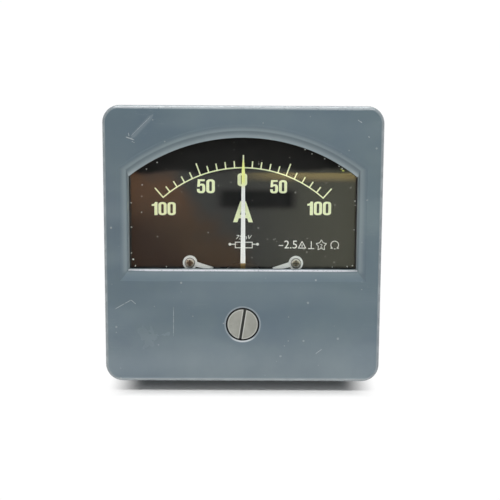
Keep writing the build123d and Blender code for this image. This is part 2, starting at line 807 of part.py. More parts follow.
# Soft iron yoke ring behind the plate
with BuildPart() as yoke_ring:
    with BuildSketch(level(yoke_rear_y)):
        with Locations((0, pivot_z)):
            Circle(yoke_out_r)
            Circle(yoke_in_r, mode=Mode.SUBTRACT)
        with Locations((-rear_screw_x, pivot_z), (rear_screw_x, pivot_z)):
            Circle(long_screw_r + fit_gap, mode=Mode.SUBTRACT)
    extrude(amount=yoke_rear_y - plate_rear_y)
yoke_ring.part.label = "yoke_ring"
export_step(yoke_ring.part, "parts/yoke_ring.step")

# Cylinder magnet inside the coil
with BuildPart() as core_magnet:
    with BuildSketch(level(core_rear_y)):
        with Locations((0, pivot_z)):
            Circle(core_r)
    extrude(amount=core_length)
core_magnet.part.label = "core_magnet"
export_step(core_magnet.part, "parts/core_magnet.step")

# Two brass spacers that hold the magnet in the yoke, above and below the coil's travel
with BuildPart() as core_holders:
    with BuildSketch(level(core_rear_y)):
        with Locations((0, pivot_z)):
            Circle(yoke_in_r)
            Circle(core_r, mode=Mode.SUBTRACT)
            Rectangle(holder_width, 2 * yoke_out_r, mode=Mode.INTERSECT)
    extrude(amount=core_length)
core_holders.part.label = "core_holders"
export_step(core_holders.part, "parts/core_holders.step")

# Coil: a sheet former round the magnet, and the winding on it
coil_base_z = pivot_z - coil_half_height
coil_middle_y = (winding_front_y + winding_rear_y) / 2
opening_w = 2 * (core_r + coil_side_gap)
opening_l = core_length + 2 * coil_end_gap
former_w = opening_w + 2 * former_thick
former_l = opening_l + 2 * former_thick
with BuildPart() as coil_former:
    with BuildSketch(Plane.XY.offset(coil_base_z)):
        with Locations((0, coil_middle_y)):
            Rectangle(former_w, former_l)
            Rectangle(opening_w, opening_l, mode=Mode.SUBTRACT)
    extrude(amount=2 * coil_half_height)
coil_former.part.label = "coil_former"
export_step(coil_former.part, "parts/coil_former.step")

with BuildPart() as coil_winding:
    with BuildSketch(Plane.XY.offset(coil_base_z)):
        with Locations((0, coil_middle_y)):
            RectangleRounded(former_w + 2 * winding_thick, former_l + 2 * winding_thick, winding_thick)
            Rectangle(former_w, former_l, mode=Mode.SUBTRACT)
    extrude(amount=2 * coil_half_height)
coil_winding.part.label = "coil_winding"
export_step(coil_winding.part, "parts/coil_winding.step")

# Staffs at the coil's ends: a foot on the winding, a shaft and a fine pivot
pivot_length = jewel_gap + jewel_cup_depth - pivot_end_play
with BuildPart() as front_staff:
    with BuildSketch(level(winding_front_y)):
        with Locations((0, pivot_z)):
            Circle(staff_base_r)
    extrude(amount=staff_base_thick)
    with BuildSketch(level(winding_front_y)):
        with Locations((0, pivot_z)):
            Circle(staff_r)
    extrude(amount=winding_front_y - hair_front_y)
    with BuildSketch(level(hair_front_y)):
        with Locations((0, pivot_z)):
            Circle(pivot_r)
    extrude(amount=pivot_length)
front_staff.part.label = "front_staff"
export_step(front_staff.part, "parts/front_staff.step")

with BuildPart() as rear_staff:
    with BuildSketch(level(winding_rear_y + staff_base_thick)):
        with Locations((0, pivot_z)):
            Circle(staff_base_r)
    extrude(amount=staff_base_thick)
    with BuildSketch(level(rear_hair_y + hair_width)):
        with Locations((0, pivot_z)):
            Circle(staff_r)
    extrude(amount=rear_hair_y + hair_width - winding_rear_y)
    with BuildSketch(level(rear_hair_y + hair_width)):
        with Locations((0, pivot_z)):
            Circle(sleeve_r)
    extrude(amount=hair_width)
    with BuildSketch(level(rear_hair_y + hair_width + pivot_length)):
        with Locations((0, pivot_z)):
            Circle(pivot_r)
    extrude(amount=pivot_length)
rear_staff.part.label = "rear_staff"
export_step(rear_staff.part, "parts/rear_staff.step")

# Hairsprings: a flat spiral strip from the sleeve out to its tab
hair_start_r = sleeve_r + hair_end_gap + hair_thick / 2
hair_end_r = tab_r - hair_end_gap - hair_thick / 2


def spiral_edge(end_angle, shift):
    """Points along the strip's middle line moved outwards by shift"""
    count = hair_turns * hair_steps
    points = []
    for step in range(count + 1):
        share = step / count
        radius = hair_start_r + (hair_end_r - hair_start_r) * share + shift
        angle = math.radians(end_angle - 360 * hair_turns * (1 - share))
        points.append((radius * math.cos(angle), pivot_z + radius * math.sin(angle)))
    return points


def hairspring_outline(y, end_angle):
    """Closed outline of a hairspring at depth y whose outer end lies at end_angle"""
    with BuildSketch(level(y)) as outline:
        with BuildLine():
            inner = Spline(*spiral_edge(end_angle, -hair_thick / 2))
            outer = Spline(*spiral_edge(end_angle, hair_thick / 2))
            Line(inner @ 0, outer @ 0)
            Line(inner @ 1, outer @ 1)
        make_face()
    return outline.sketch


with BuildPart() as front_hairspring:
    extrude(hairspring_outline(hair_front_y + hair_width, 90), amount=hair_width)
front_hairspring.part.label = "front_hairspring"
export_step(front_hairspring.part, "parts/front_hairspring.step")

with BuildPart() as rear_hairspring:
    extrude(hairspring_outline(rear_hair_y + hair_width, -90), amount=hair_width)
rear_hairspring.part.label = "rear_hairspring"
export_step(rear_hairspring.part, "parts/rear_hairspring.step")

# Front bridge: a bent strip over the pointer's hub, with feet on the movement plate
front_bar_y = front_bridge_y + bridge_thick / 2
front_foot_y = plate_front_y - bridge_thick / 2
with BuildPart() as front_bridge:
    with BuildSketch(Plane.XY.offset(pivot_z - bridge_half_height)):
        with BuildLine():
            FilletPolyline(
                (-front_foot_x, front_foot_y),
                (-front_leg_x, front_foot_y),
                (-front_leg_x, front_bar_y),
                (front_leg_x, front_bar_y),
                (front_leg_x, front_foot_y),
                (front_foot_x, front_foot_y),
                radius=bridge_bend_r,
            )
        trace(line_width=bridge_thick)
    extrude(amount=2 * bridge_half_height)
    with BuildSketch(level(front_bridge_rear_y)):
        with Locations((0, pivot_z)):
            Circle(jewel_screw_r)
    extrude(amount=bridge_thick, mode=Mode.SUBTRACT)
    with BuildSketch(level(plate_front_y)):
        with Locations((-front_screw_x, pivot_z), (front_screw_x, pivot_z)):
            Circle(small_screw_r + fit_gap)
    extrude(amount=bridge_thick, mode=Mode.SUBTRACT)
front_bridge.part.label = "front_bridge"
export_step(front_bridge.part, "parts/front_bridge.step")

# Two screws of the front bridge
with BuildPart() as bridge_screws:
    with BuildSketch(level(plate_rear_y)):
        with Locations((-front_screw_x, pivot_z), (front_screw_x, pivot_z)):
            Circle(small_screw_r)
    extrude(amount=plate_sheet + bridge_thick)
    with BuildSketch(level(plate_front_y - bridge_thick)):
        with Locations((-front_screw_x, pivot_z), (front_screw_x, pivot_z)):
            Circle(small_head_r)
    extrude(amount=small_head_thick)
bridge_screws.part.label = "bridge_screws"
export_step(bridge_screws.part, "parts/bridge_screws.step")

# Rear bridge: a bent strip behind the coil, with feet on the yoke
rear_bar_y = rear_bridge_y + bridge_thick / 2
rear_foot_y = yoke_rear_y + bridge_thick / 2
with BuildPart() as rear_bridge:
    with BuildSketch(Plane.XY.offset(pivot_z - bridge_half_height)):
        with BuildLine():
            FilletPolyline(
                (-rear_foot_x, rear_foot_y),
                (-rear_leg_x, rear_foot_y),
                (-rear_leg_x, rear_bar_y),
                (rear_leg_x, rear_bar_y),
                (rear_leg_x, rear_foot_y),
                (rear_foot_x, rear_foot_y),
                radius=bridge_bend_r,
            )
        trace(line_width=bridge_thick)
    extrude(amount=2 * bridge_half_height)
    with BuildSketch(level(rear_bridge_rear_y)):
        with Locations((0, pivot_z)):
            Circle(jewel_screw_r)
    extrude(amount=bridge_thick, mode=Mode.SUBTRACT)
    with BuildSketch(level(yoke_rear_y + bridge_thick)):
        with Locations((-rear_screw_x, pivot_z), (rear_screw_x, pivot_z)):
            Circle(long_screw_r + fit_gap)
    extrude(amount=bridge_thick, mode=Mode.SUBTRACT)
rear_bridge.part.label = "rear_bridge"
export_step(rear_bridge.part, "parts/rear_bridge.step")

# Two long screws through the rear bridge and the yoke into the movement plate
long_screw_tip_y = plate_rear_y - long_screw_bite
long_screw_seat_y = yoke_rear_y + bridge_thick
with BuildPart() as movement_screws:
    with BuildSketch(level(long_screw_seat_y)):
        with Locations((-rear_screw_x, pivot_z), (rear_screw_x, pivot_z)):
            Circle(long_screw_r)
    extrude(amount=long_screw_seat_y - long_screw_tip_y)
    with BuildSketch(level(long_screw_seat_y + small_head_thick)):
        with Locations((-rear_screw_x, pivot_z), (rear_screw_x, pivot_z)):
            Circle(rear_head_r)
    extrude(amount=small_head_thick)
movement_screws.part.label = "movement_screws"
export_step(movement_screws.part, "parts/movement_screws.step")

# Jewel screws: a slotted threaded rod with a pocket for the jewel at its inner end
with BuildPart() as front_jewel_screw:
    with BuildSketch(level(jewel_face_y)):
        with Locations((0, pivot_z)):
            Circle(jewel_screw_r)
    extrude(amount=jewel_face_y - front_nut_y)
    with BuildSketch(level(jewel_face_y)):
        with Locations((0, pivot_z)):
            Circle(jewel_r)
    extrude(amount=jewel_thick, mode=Mode.SUBTRACT)
    with BuildSketch(level(front_nut_y + jewel_slot_depth)):
        with Locations((0, pivot_z)):
            Rectangle(2 * jewel_nut_half, jewel_slot_w)
    extrude(amount=jewel_slot_depth, mode=Mode.SUBTRACT)
front_jewel_screw.part.label = "front_jewel_screw"
export_step(front_jewel_screw.part, "parts/front_jewel_screw.step")

with BuildPart() as rear_jewel_screw:
    with BuildSketch(level(rear_nut_rear_y)):
        with Locations((0, pivot_z)):
            Circle(jewel_screw_r)
    extrude(amount=rear_nut_rear_y - rear_jewel_face_y)
    with BuildSketch(level(rear_jewel_face_y + jewel_thick)):
        with Locations((0, pivot_z)):
            Circle(jewel_r)
    extrude(amount=jewel_thick, mode=Mode.SUBTRACT)
    with BuildSketch(level(rear_nut_rear_y)):
        with Locations((0, pivot_z)):
            Rectangle(2 * jewel_nut_half, jewel_slot_w)
    extrude(amount=jewel_slot_depth, mode=Mode.SUBTRACT)
rear_jewel_screw.part.label = "rear_jewel_screw"
export_step(rear_jewel_screw.part, "parts/rear_jewel_screw.step")

# Jewels: a ruby cup for each pivot
with BuildPart() as front_jewel:
    with BuildSketch(level(jewel_face_y)):
        with Locations((0, pivot_z)):
            Circle(jewel_r)
    extrude(amount=jewel_thick)
    with BuildSketch(level(jewel_face_y)):
        with Locations((0, pivot_z)):
            Circle(pivot_r + running_gap)
    extrude(amount=jewel_cup_depth, mode=Mode.SUBTRACT)
front_jewel.part.label = "front_jewel"
export_step(front_jewel.part, "parts/front_jewel.step")

with BuildPart() as rear_jewel:
    with BuildSketch(level(rear_jewel_face_y + jewel_thick)):
        with Locations((0, pivot_z)):
            Circle(jewel_r)
    extrude(amount=jewel_thick)
    with BuildSketch(level(rear_jewel_face_y + jewel_cup_depth)):
        with Locations((0, pivot_z)):
            Circle(pivot_r + running_gap)
    extrude(amount=jewel_cup_depth, mode=Mode.SUBTRACT)
rear_jewel.part.label = "rear_jewel"
export_step(rear_jewel.part, "parts/rear_jewel.step")

# Lock nuts of the two jewel screws
with BuildPart() as jewel_nuts:
    for nut_rear_y in (lever_front_y, rear_nut_rear_y):
        with BuildSketch(level(nut_rear_y)):
            with Locations((0, pivot_z)):
                RegularPolygon(jewel_nut_half, 6, major_radius=False)
                Circle(jewel_screw_r, mode=Mode.SUBTRACT)
        extrude(amount=jewel_nut_thick)
jewel_nuts.part.label = "jewel_nuts"
export_step(jewel_nuts.part, "parts/jewel_nuts.step")

# Zero lever: turns on the front jewel screw, forked at the crank pin, with a tab for the hairspring
fork_half = crank_pin_r + lever_slot_gap
hair_rear_y = hair_front_y + hair_width
with BuildPart() as zero_lever:
    with BuildSketch(level(front_bridge_y)):
        with Locations((0, pivot_z)):
            Circle(lever_ring_r)
            Rectangle(lever_arm_w, lever_fork_r, align=(Align.CENTER, Align.MAX))
            Rectangle(2 * tab_half, tab_r + tab_thick, align=(Align.CENTER, Align.MIN))
            Circle(jewel_screw_r + running_gap, mode=Mode.SUBTRACT)
        with Locations((0, pivot_z - lever_slot_r)):
            Rectangle(2 * fork_half, lever_fork_r, align=(Align.CENTER, Align.MAX), mode=Mode.SUBTRACT)
    extrude(amount=lever_thick)
    with BuildSketch(level(hair_rear_y)):
        with Locations((0, pivot_z + tab_r)):
            Rectangle(2 * tab_half, tab_thick, align=(Align.CENTER, Align.MIN))
    extrude(amount=hair_rear_y - front_bridge_y)
zero_lever.part.label = "zero_lever"
export_step(zero_lever.part, "parts/zero_lever.step")

# Rear spring anchor: a ring under the rear nut with a tab for the hairspring and a tail for its lead
with BuildPart() as spring_anchor:
    with BuildSketch(level(anchor_rear_y)):
        with Locations((0, pivot_z)):
            Circle(lever_ring_r)
            Rectangle(anchor_tail_w, anchor_tail_r, align=(Align.CENTER, Align.MIN))
            Rectangle(2 * tab_half, tab_r + tab_thick, align=(Align.CENTER, Align.MAX))
            Circle(jewel_screw_r, mode=Mode.SUBTRACT)
    extrude(amount=lever_thick)
    with BuildSketch(level(rear_bridge_rear_y)):
        with Locations((0, pivot_z - tab_r)):
            Rectangle(2 * tab_half, tab_thick, align=(Align.CENTER, Align.MAX))
    extrude(amount=rear_bridge_rear_y - rear_hair_y)
spring_anchor.part.label = "spring_anchor"
export_step(spring_anchor.part, "parts/spring_anchor.step")

# Series resistor: a bobbin screwed to the barrel's floor, and its winding
bobbin_front_y = barrel_floor_y - bobbin_length
with BuildPart() as resistor_bobbin:
    with BuildSketch(level(barrel_floor_y)):
        with Locations((0, bobbin_z)):
            Circle(bobbin_core_r)
    extrude(amount=bobbin_length)
    for cheek_y in (barrel_floor_y, bobbin_front_y + bobbin_cheek):
        with BuildSketch(level(cheek_y)):
            with Locations((0, bobbin_z)):
                Circle(bobbin_r)
        extrude(amount=bobbin_cheek)
    with BuildSketch(level(barrel_floor_y)):
        with Locations((0, bobbin_z)):
            Circle(bobbin_screw_r + fit_gap)
    extrude(amount=bobbin_length, mode=Mode.SUBTRACT)
resistor_bobbin.part.label = "resistor_bobbin"
export_step(resistor_bobbin.part, "parts/resistor_bobbin.step")

with BuildPart() as resistor_winding:
    with BuildSketch(level(barrel_floor_y - bobbin_cheek)):
        with Locations((0, bobbin_z)):
            Circle(bobbin_wire_r)
            Circle(bobbin_core_r, mode=Mode.SUBTRACT)
    extrude(amount=bobbin_length - 2 * bobbin_cheek)
resistor_winding.part.label = "resistor_winding"
export_step(resistor_winding.part, "parts/resistor_winding.step")

with BuildPart() as resistor_screw:
    with BuildSketch(level(barrel_floor_y + bobbin_screw_bite - fit_gap)):
        with Locations((0, bobbin_z)):
            Circle(bobbin_screw_r)
    extrude(amount=bobbin_length + bobbin_screw_bite - fit_gap)
    with BuildSketch(level(bobbin_front_y)):
        with Locations((0, bobbin_z)):
            Circle(bobbin_head_r)
    extrude(amount=bobbin_head_thick)
resistor_screw.part.label = "resistor_screw"
export_step(resistor_screw.part, "parts/resistor_screw.step")

# Terminals: two studs with a hexagon head inside, and a solder lug under each head
lug_front_y = barrel_floor_y - lug_thick
boss_face_y = barrel_rear_y + terminal_boss_height
with BuildPart() as terminal_studs:
    with BuildSketch(level(boss_face_y + terminal_reach)):
        with Locations(*terminal_spots):
            Circle(terminal_r)
    extrude(amount=boss_face_y + terminal_reach - lug_front_y)
    chamfer(terminal_studs.faces().sort_by(Axis.Y)[-2:].edges(), stud_tip)
    with BuildSketch(level(lug_front_y)):
        with Locations(*terminal_spots):
            RegularPolygon(terminal_head_half, 6, major_radius=False)
    extrude(amount=terminal_head_thick)
terminal_studs.part.label = "terminal_studs"
export_step(terminal_studs.part, "parts/terminal_studs.step")

with BuildPart() as solder_lugs:
    with BuildSketch(level(barrel_floor_y)):
        with Locations(*terminal_spots):
            Circle(lug_ring_r)
            Rectangle(lug_tail_w, lug_tail_reach, align=(Align.CENTER, Align.MIN))
            Circle(terminal_r + fit_gap, mode=Mode.SUBTRACT)
    extrude(amount=lug_thick)
solder_lugs.part.label = "solder_lugs"
export_step(solder_lugs.part, "parts/solder_lugs.step")

# Washers and nuts on the terminals: one pair locks the stud, one pair clamps the cable
lock_rear_y = boss_face_y + terminal_washer_thick + terminal_nut_thick
with BuildPart() as terminal_washers:
    for washer_y in (boss_face_y, lock_rear_y):
        with BuildSketch(level(washer_y + terminal_washer_thick)):
            with Locations(*terminal_spots):
                Circle(terminal_washer_r)
                Circle(terminal_r + fit_gap, mode=Mode.SUBTRACT)
        extrude(amount=terminal_washer_thick)
terminal_washers.part.label = "terminal_washers"
export_step(terminal_washers.part, "parts/terminal_washers.step")

with BuildPart() as terminal_nuts:
    for nut_y in (boss_face_y, lock_rear_y):
        with BuildSketch(level(nut_y + terminal_washer_thick + terminal_nut_thick)):
            with Locations(*terminal_spots):
                RegularPolygon(terminal_nut_half, 6, major_radius=False)
                Circle(terminal_r, mode=Mode.SUBTRACT)
        extrude(amount=terminal_nut_thick)
terminal_nuts.part.label = "terminal_nuts"
export_step(terminal_nuts.part, "parts/terminal_nuts.step")

# Internal leads: from the right lug to the resistor, from the resistor to the rear spring anchor,
# and from the left lug to the movement plate
lead_lug_y = lug_front_y - lead_r
lead_start_z = lug_tail_reach - lead_overlap
cheek_middle_y = bobbin_front_y + bobbin_cheek / 2
with BuildPart() as lead_input:
    with BuildLine() as input_route:
        FilletPolyline(
            (terminal_x, lead_lug_y, lead_start_z),
            (terminal_x, lead_lug_y, bobbin_z),
            (terminal_x, cheek_middle_y, bobbin_z),
            (bobbin_r, cheek_middle_y, bobbin_z),
            radius=lead_bend_r,
        )
    with BuildSketch(Plane(origin=input_route.line @ 0, z_dir=input_route.line % 0)):
        Circle(lead_r)
    sweep()
lead_input.part.label = "lead_input"
export_step(lead_input.part, "parts/lead_input.step")

series_y = bobbin_front_y - lead_r
series_z = pivot_z + anchor_tail_r - lead_r
with BuildPart() as lead_series:
    with BuildLine() as series_route:
        FilletPolyline(
            (0, series_y, bobbin_z - bobbin_head_r - lead_r),
            (0, series_y, series_z),
            (0, anchor_rear_y, series_z),
            radius=lead_bend_r,
        )
    with BuildSketch(Plane(origin=series_route.line @ 0, z_dir=series_route.line % 0)):
        Circle(lead_r)
    sweep()
lead_series.part.label = "lead_series"
export_step(lead_series.part, "parts/lead_series.step")

with BuildPart() as lead_return:
    with BuildLine() as return_route:
        FilletPolyline(
            (-terminal_x, lead_lug_y, lead_start_z),
            (-terminal_x, lead_lug_y, bobbin_z),
            (-terminal_x, plate_rear_y, bobbin_z),
            radius=lead_bend_r,
        )
    with BuildSketch(Plane(origin=return_route.line @ 0, z_dir=return_route.line % 0)):
        Circle(lead_r)
    sweep()
lead_return.part.label = "lead_return"
export_step(lead_return.part, "parts/lead_return.step")
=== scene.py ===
import bmesh
import bpy
import math
from mathutils import Matrix, Vector


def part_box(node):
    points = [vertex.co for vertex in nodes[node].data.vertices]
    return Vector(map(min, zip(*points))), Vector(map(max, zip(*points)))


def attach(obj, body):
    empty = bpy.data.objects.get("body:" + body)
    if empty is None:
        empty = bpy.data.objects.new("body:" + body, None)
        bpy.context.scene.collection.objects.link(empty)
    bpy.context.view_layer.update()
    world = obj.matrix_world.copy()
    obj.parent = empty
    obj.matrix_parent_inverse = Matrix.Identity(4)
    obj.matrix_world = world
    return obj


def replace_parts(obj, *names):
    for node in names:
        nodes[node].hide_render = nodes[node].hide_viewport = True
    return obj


# Square analog panel meter: looks of every piece, dial print, floor, light and camera.
# Metres, X right, Y into the panel, Z up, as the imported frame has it.
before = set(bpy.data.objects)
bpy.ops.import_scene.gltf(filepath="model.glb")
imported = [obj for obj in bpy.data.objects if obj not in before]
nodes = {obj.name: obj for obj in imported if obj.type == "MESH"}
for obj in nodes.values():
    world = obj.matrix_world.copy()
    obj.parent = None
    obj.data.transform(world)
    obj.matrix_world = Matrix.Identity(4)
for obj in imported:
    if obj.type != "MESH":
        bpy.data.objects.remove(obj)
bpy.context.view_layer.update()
MM = 0.001

# Places on the meter that the print and the finishes follow
pivot = Vector((0.0, 0.0, -14.0)) * MM
dial_face_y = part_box("dial_plate")[0][1]
cover_front_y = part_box("front_cover")[0][1]
adjuster_axis = Vector((0.0, 0.0, -22.85)) * MM
print_thick = 0.05 * MM
# In millimetres: crease between the window's bevel and its lip, and the centres of the face's corners
crease_y = -13.3
corner_centre = 35.0


# Shader building

def plug(tree, socket, value):
    """Links an output to a socket, or sets the socket; a colour may come without its alpha"""
    if isinstance(value, bpy.types.NodeSocket):
        tree.links.new(value, socket)
    elif socket.type == "RGBA" and len(value) == 3:
        socket.default_value = (*value, 1.0)
    else:
        socket.default_value = value


def place(tree, kind, inputs=None, **settings):
    """New shader node; each input is a value or the output that feeds it"""
    made = tree.nodes.new("ShaderNode" + kind)
    for name, value in settings.items():
        setattr(made, name, value)
    for name, value in (inputs or {}).items():
        plug(tree, made.inputs[name], value)
    return made


def feed(tree, node, **sockets):
    """Sets or links a node's own sockets; underscores in names stand for spaces"""
    for name, value in sockets.items():
        plug(tree, node.inputs[name.replace("_", " ")], value)


def sums(tree, operation, *values, clamp=False):
    """Output of one Math node"""
    made = place(tree, "Math", dict(enumerate(values)), operation=operation, use_clamp=clamp)
    return made.outputs["Value"]


def times(tree, first, second):
    """Product of two values"""
    return sums(tree, "MULTIPLY", first, second)


def larger(tree, first, second):
    """Larger of two values"""
    return sums(tree, "MAXIMUM", first, second)


def unsigned(tree, value):
    """Value without its sign"""
    return sums(tree, "ABSOLUTE", value)


def arrows(tree, operation, *values, output="Vector"):
    """Output of one Vector Math node"""
    made = place(tree, "VectorMath", dict(enumerate(values)), operation=operation)
    return made.outputs[output]


def length_of(tree, arrow):
    """Length of an arrow"""
    return arrows(tree, "LENGTH", arrow, output="Value")


def fade(tree, value, low, high, out_low=0.0, out_high=1.0):
    """Smooth step of a value from low to high"""
    made = place(
        tree, "MapRange",
        {"Value": value, "From Min": low, "From Max": high, "To Min": out_low, "To Max": out_high},
        interpolation_type="SMOOTHSTEP",
    )
    return made.outputs["Result"]


def fade_mm(tree, value, low, high, out_low=0.0, out_high=1.0):
    """Smooth step of a length between two lengths in millimetres"""
    return fade(tree, value, low * MM, high * MM, out_low, out_high)


def blend(tree, share, first, second):
    """Mix of two colours by a share from 0 to 1"""
    return place(tree, "Mix", {0: share, 6: first, 7: second}, data_type="RGBA").outputs[2]


def coat(tree, shade, mask, amount, colour):
    """A shade with a colour laid over it where the mask is, as strong as the amount"""
    return blend(tree, times(tree, mask, amount), shade, colour)


def spot_on_piece(tree):
    """Object coordinates of the shaded point"""
    return place(tree, "TexCoord").outputs["Object"]


def parts_of(tree, arrow=None):
    """X, Y and Z of an arrow, or else of the shaded point"""
    return place(tree, "SeparateXYZ", {"Vector": spot_on_piece(tree) if arrow is None else arrow}).outputs


def off_axis(tree, axis):
    """Arrow to the shaded point from an axis along Y through a place"""
    return arrows(tree, "MULTIPLY", arrows(tree, "SUBTRACT", spot_on_piece(tree), axis), (1.0, 0.0, 1.0))


def noise_at(tree, scale, detail=2.0, arrow=None, **more):
    """Noise from 0 to 1 at an arrow, or else at the shaded point"""
    where = spot_on_piece(tree) if arrow is None else arrow
    noise = place(tree, "TexNoise", {"Vector": where, "Scale": scale, "Detail": detail, **more})
    return noise.outputs["Fac"]


def start_group(name, inputs, outputs):
    """Empty shader group with named inputs and outputs; returns it with its two ends"""
    group = bpy.data.node_groups.new(name, "ShaderNodeTree")
    for label, kind, value in inputs:
        socket = group.interface.new_socket(label, in_out="INPUT", socket_type="NodeSocket" + kind)
        socket.default_value = value
    for label in outputs:
        group.interface.new_socket(label, in_out="OUTPUT", socket_type="NodeSocketFloat")
    entry = group.nodes.new("NodeGroupInput")
    leave = group.nodes.new("NodeGroupOutput")
    return group, entry.outputs, leave.inputs


def use(tree, group, **values):
    """Places a shader group with its own values; underscores in names stand for spaces"""
    made = tree.nodes.new("ShaderNodeGroup")
    made.node_tree = group
    feed(tree, made, **values)
    return made.outputs


# Cloudy tone: 0 to 1 in soft patches
tree, taken, given = start_group(
    "soft_clouds",
    [("Scale", "Float", 100.0), ("Sharpness", "Float", 0.3), ("Detail", "Float", 4.0)],
    ["Tone"],
)
tone = noise_at(tree, taken["Scale"], taken["Detail"], Roughness=0.6)
low = times(tree, taken["Sharpness"], 0.5)
high = sums(tree, "SUBTRACT", 1.0, low)
tree.links.new(fade(tree, tone, low, high), given["Tone"])
soft_clouds = tree

# Specks of dust: scattered dots of uneven size
tree, taken, given = start_group(
    "fine_specks", [("Scale", "Float", 500.0), ("Size", "Float", 0.4), ("Rareness", "Float", 4.0)], ["Mask"]
)
cells = place(tree, "TexVoronoi", {"Vector": spot_on_piece(tree), "Scale": taken["Scale"]})
chance = place(tree, "SeparateColor", {"Color": cells.outputs["Color"]}).outputs["Red"]
reach = times(tree, sums(tree, "POWER", chance, taken["Rareness"]), taken["Size"])
over = sums(tree, "SUBTRACT", reach, cells.outputs["Distance"])
tree.links.new(fade(tree, over, 0.0, 0.06), given["Mask"])
fine_specks = tree

# One line from one point to another with broken edges, for scratches and for painted highlight lines
tree, taken, given = start_group(
    "scratch_and_highlight_line",
    [("From", "Vector", (0, 0, 0)), ("To", "Vector", (0, 0, 0)), ("Half Width", "Float", 0.0002),
     ("Breaks", "Float", 0.5)],
    ["Mask"],
)
along = arrows(tree, "SUBTRACT", taken["To"], taken["From"])
away = arrows(tree, "SUBTRACT", spot_on_piece(tree), taken["From"])
length_2 = arrows(tree, "DOT_PRODUCT", along, along, output="Value")
share = sums(
    tree, "DIVIDE", arrows(tree, "DOT_PRODUCT", away, along, output="Value"), length_2, clamp=True
)
nearest = place(tree, "VectorMath", {0: along, 3: share}, operation="SCALE").outputs["Vector"]
gap = arrows(tree, "DISTANCE", away, nearest, output="Value")
ragged = noise_at(tree, 2500.0, 3.0)
taper = times(tree, sums(tree, "SUBTRACT", 1.0, share), share)
width = times(tree, taken["Half Width"], fade(tree, taper, 0.0, 0.12, 0.35, 1.0))
closeness = sums(tree, "DIVIDE", gap, width)
inside = fade(tree, closeness, 1.3, 0.3)
kept = fade(tree, sums(tree, "SUBTRACT", ragged, times(tree, taken["Breaks"], 0.5)), 0.1, 0.3)
tree.links.new(times(tree, inside, kept), given["Mask"])
scratch_and_highlight_line = tree

# Web of hair-fine scratches in all directions
tree, taken, given = start_group(
    "fine_scratches", [("Scale", "Float", 60.0), ("Amount", "Float", 0.5)], ["Mask"]
)
webs = []
for turn, stretch in ((0.5, 9.0), (-0.9, 14.0), (1.45, 11.0)):
    aimed = place(tree, "Mapping", {
        "Vector": spot_on_piece(tree), "Rotation": (0.0, turn, 0.0), "Scale": (1.0, 1.0, stretch),
    })
    streak = noise_at(tree, taken["Scale"], arrow=aimed.outputs["Vector"], Distortion=0.1)
    centred = unsigned(tree, sums(tree, "SUBTRACT", streak, 0.5))
    webs.append(fade(tree, centred, 0.004, 0.0))
pair = larger(tree, webs[0], webs[1])
every = larger(tree, pair, webs[2])
patch = noise_at(tree, 70.0)
shown = fade(tree, patch, sums(tree, "SUBTRACT", 0.85, times(tree, taken["Amount"], 0.4)), 0.9)
tree.links.new(times(tree, every, shown), given["Mask"])
fine_scratches = tree

# Grain of a moulded surface
tree, taken, given = start_group("moulded_grain", [("Scale", "Float", 2500.0)], ["Height"])
pebble = noise_at(tree, taken["Scale"])
waviness = noise_at(tree, 180.0, 1.0)
tree.links.new(sums(tree, "MULTIPLY_ADD", waviness, 3.0, pebble), given["Height"])
moulded_grain = tree

# Rings left by a lathe round an axis along Y
tree, taken, given = start_group(
    "lathe_rings", [("Centre", "Vector", (0, 0, 0)), ("Pitch", "Float", 0.00015)], ["Height"]
)
radius = length_of(tree, off_axis(tree, taken["Centre"]))
wobble = noise_at(tree, 300.0)
phase = sums(tree, "ADD", sums(tree, "DIVIDE", radius, taken["Pitch"]), wobble)
tree.links.new(sums(tree, "SINE", times(tree, phase, 6.283)), given["Height"])
lathe_rings = tree

# Streaks of rolled or brushed sheet
tree, taken, given = start_group(
    "rolled_grain", [("Stretch", "Vector", (1.0, 1.0, 12.0)), ("Scale", "Float", 250.0)], ["Tone"]
)
drawn = place(tree, "Mapping", {"Vector": spot_on_piece(tree), "Scale": taken["Stretch"]})
streaks = noise_at(tree, taken["Scale"], 5.0, drawn.outputs["Vector"], Roughness=0.65)
tree.links.new(fade(tree, streaks, 0.25, 0.75), given["Tone"])
rolled_grain = tree

# Turns of wire side by side along a direction; the tone is darker between the turns as painted shade
tree, taken, given = start_group(
    "wire_turns", [("Direction", "Vector", (0, 1, 0)), ("Pitch", "Float", 0.0003)], ["Height", "Tone"]
)
reached = arrows(tree, "DOT_PRODUCT", spot_on_piece(tree), taken["Direction"], output="Value")
stray = noise_at(tree, 220.0)
turn_at = sums(tree, "ADD", sums(tree, "DIVIDE", reached, taken["Pitch"]), times(tree, stray, 0.7))
swell = unsigned(tree, sums(tree, "SINE", times(tree, turn_at, 3.1416)))
tree.links.new(swell, given["Height"])
tree.links.new(fade(tree, swell, 0.0, 0.5, 0.35, 1.0), given["Tone"])
wire_turns = tree

# Rub along the outer edges of a box-shaped piece
tree, taken, given = start_group(
    "edge_rub",
    [("Centre", "Vector", (0, 0, 0)), ("Half Size", "Vector", (1, 1, 1)), ("Width", "Float", 0.001)],
    ["Mask"],
)
offset = arrows(tree, "SUBTRACT", spot_on_piece(tree), taken["Centre"])
short = arrows(tree, "SUBTRACT", taken["Half Size"], arrows(tree, "ABSOLUTE", offset))
sides = parts_of(tree, short)
near = [fade(tree, sums(tree, "DIVIDE", sides[axis], taken["Width"]), 1.0, 0.2) for axis in "XYZ"]
pairs = [times(tree, near[0], near[1]), times(tree, near[1], near[2])]
pairs.append(times(tree, near[0], near[2]))
edge = larger(tree, larger(tree, pairs[0], pairs[1]), pairs[2])
patchy = noise_at(tree, 350.0, 5.0)
tree.links.new(times(tree, edge, fade(tree, patchy, 0.42, 0.62)), given["Mask"])
edge_rub = tree


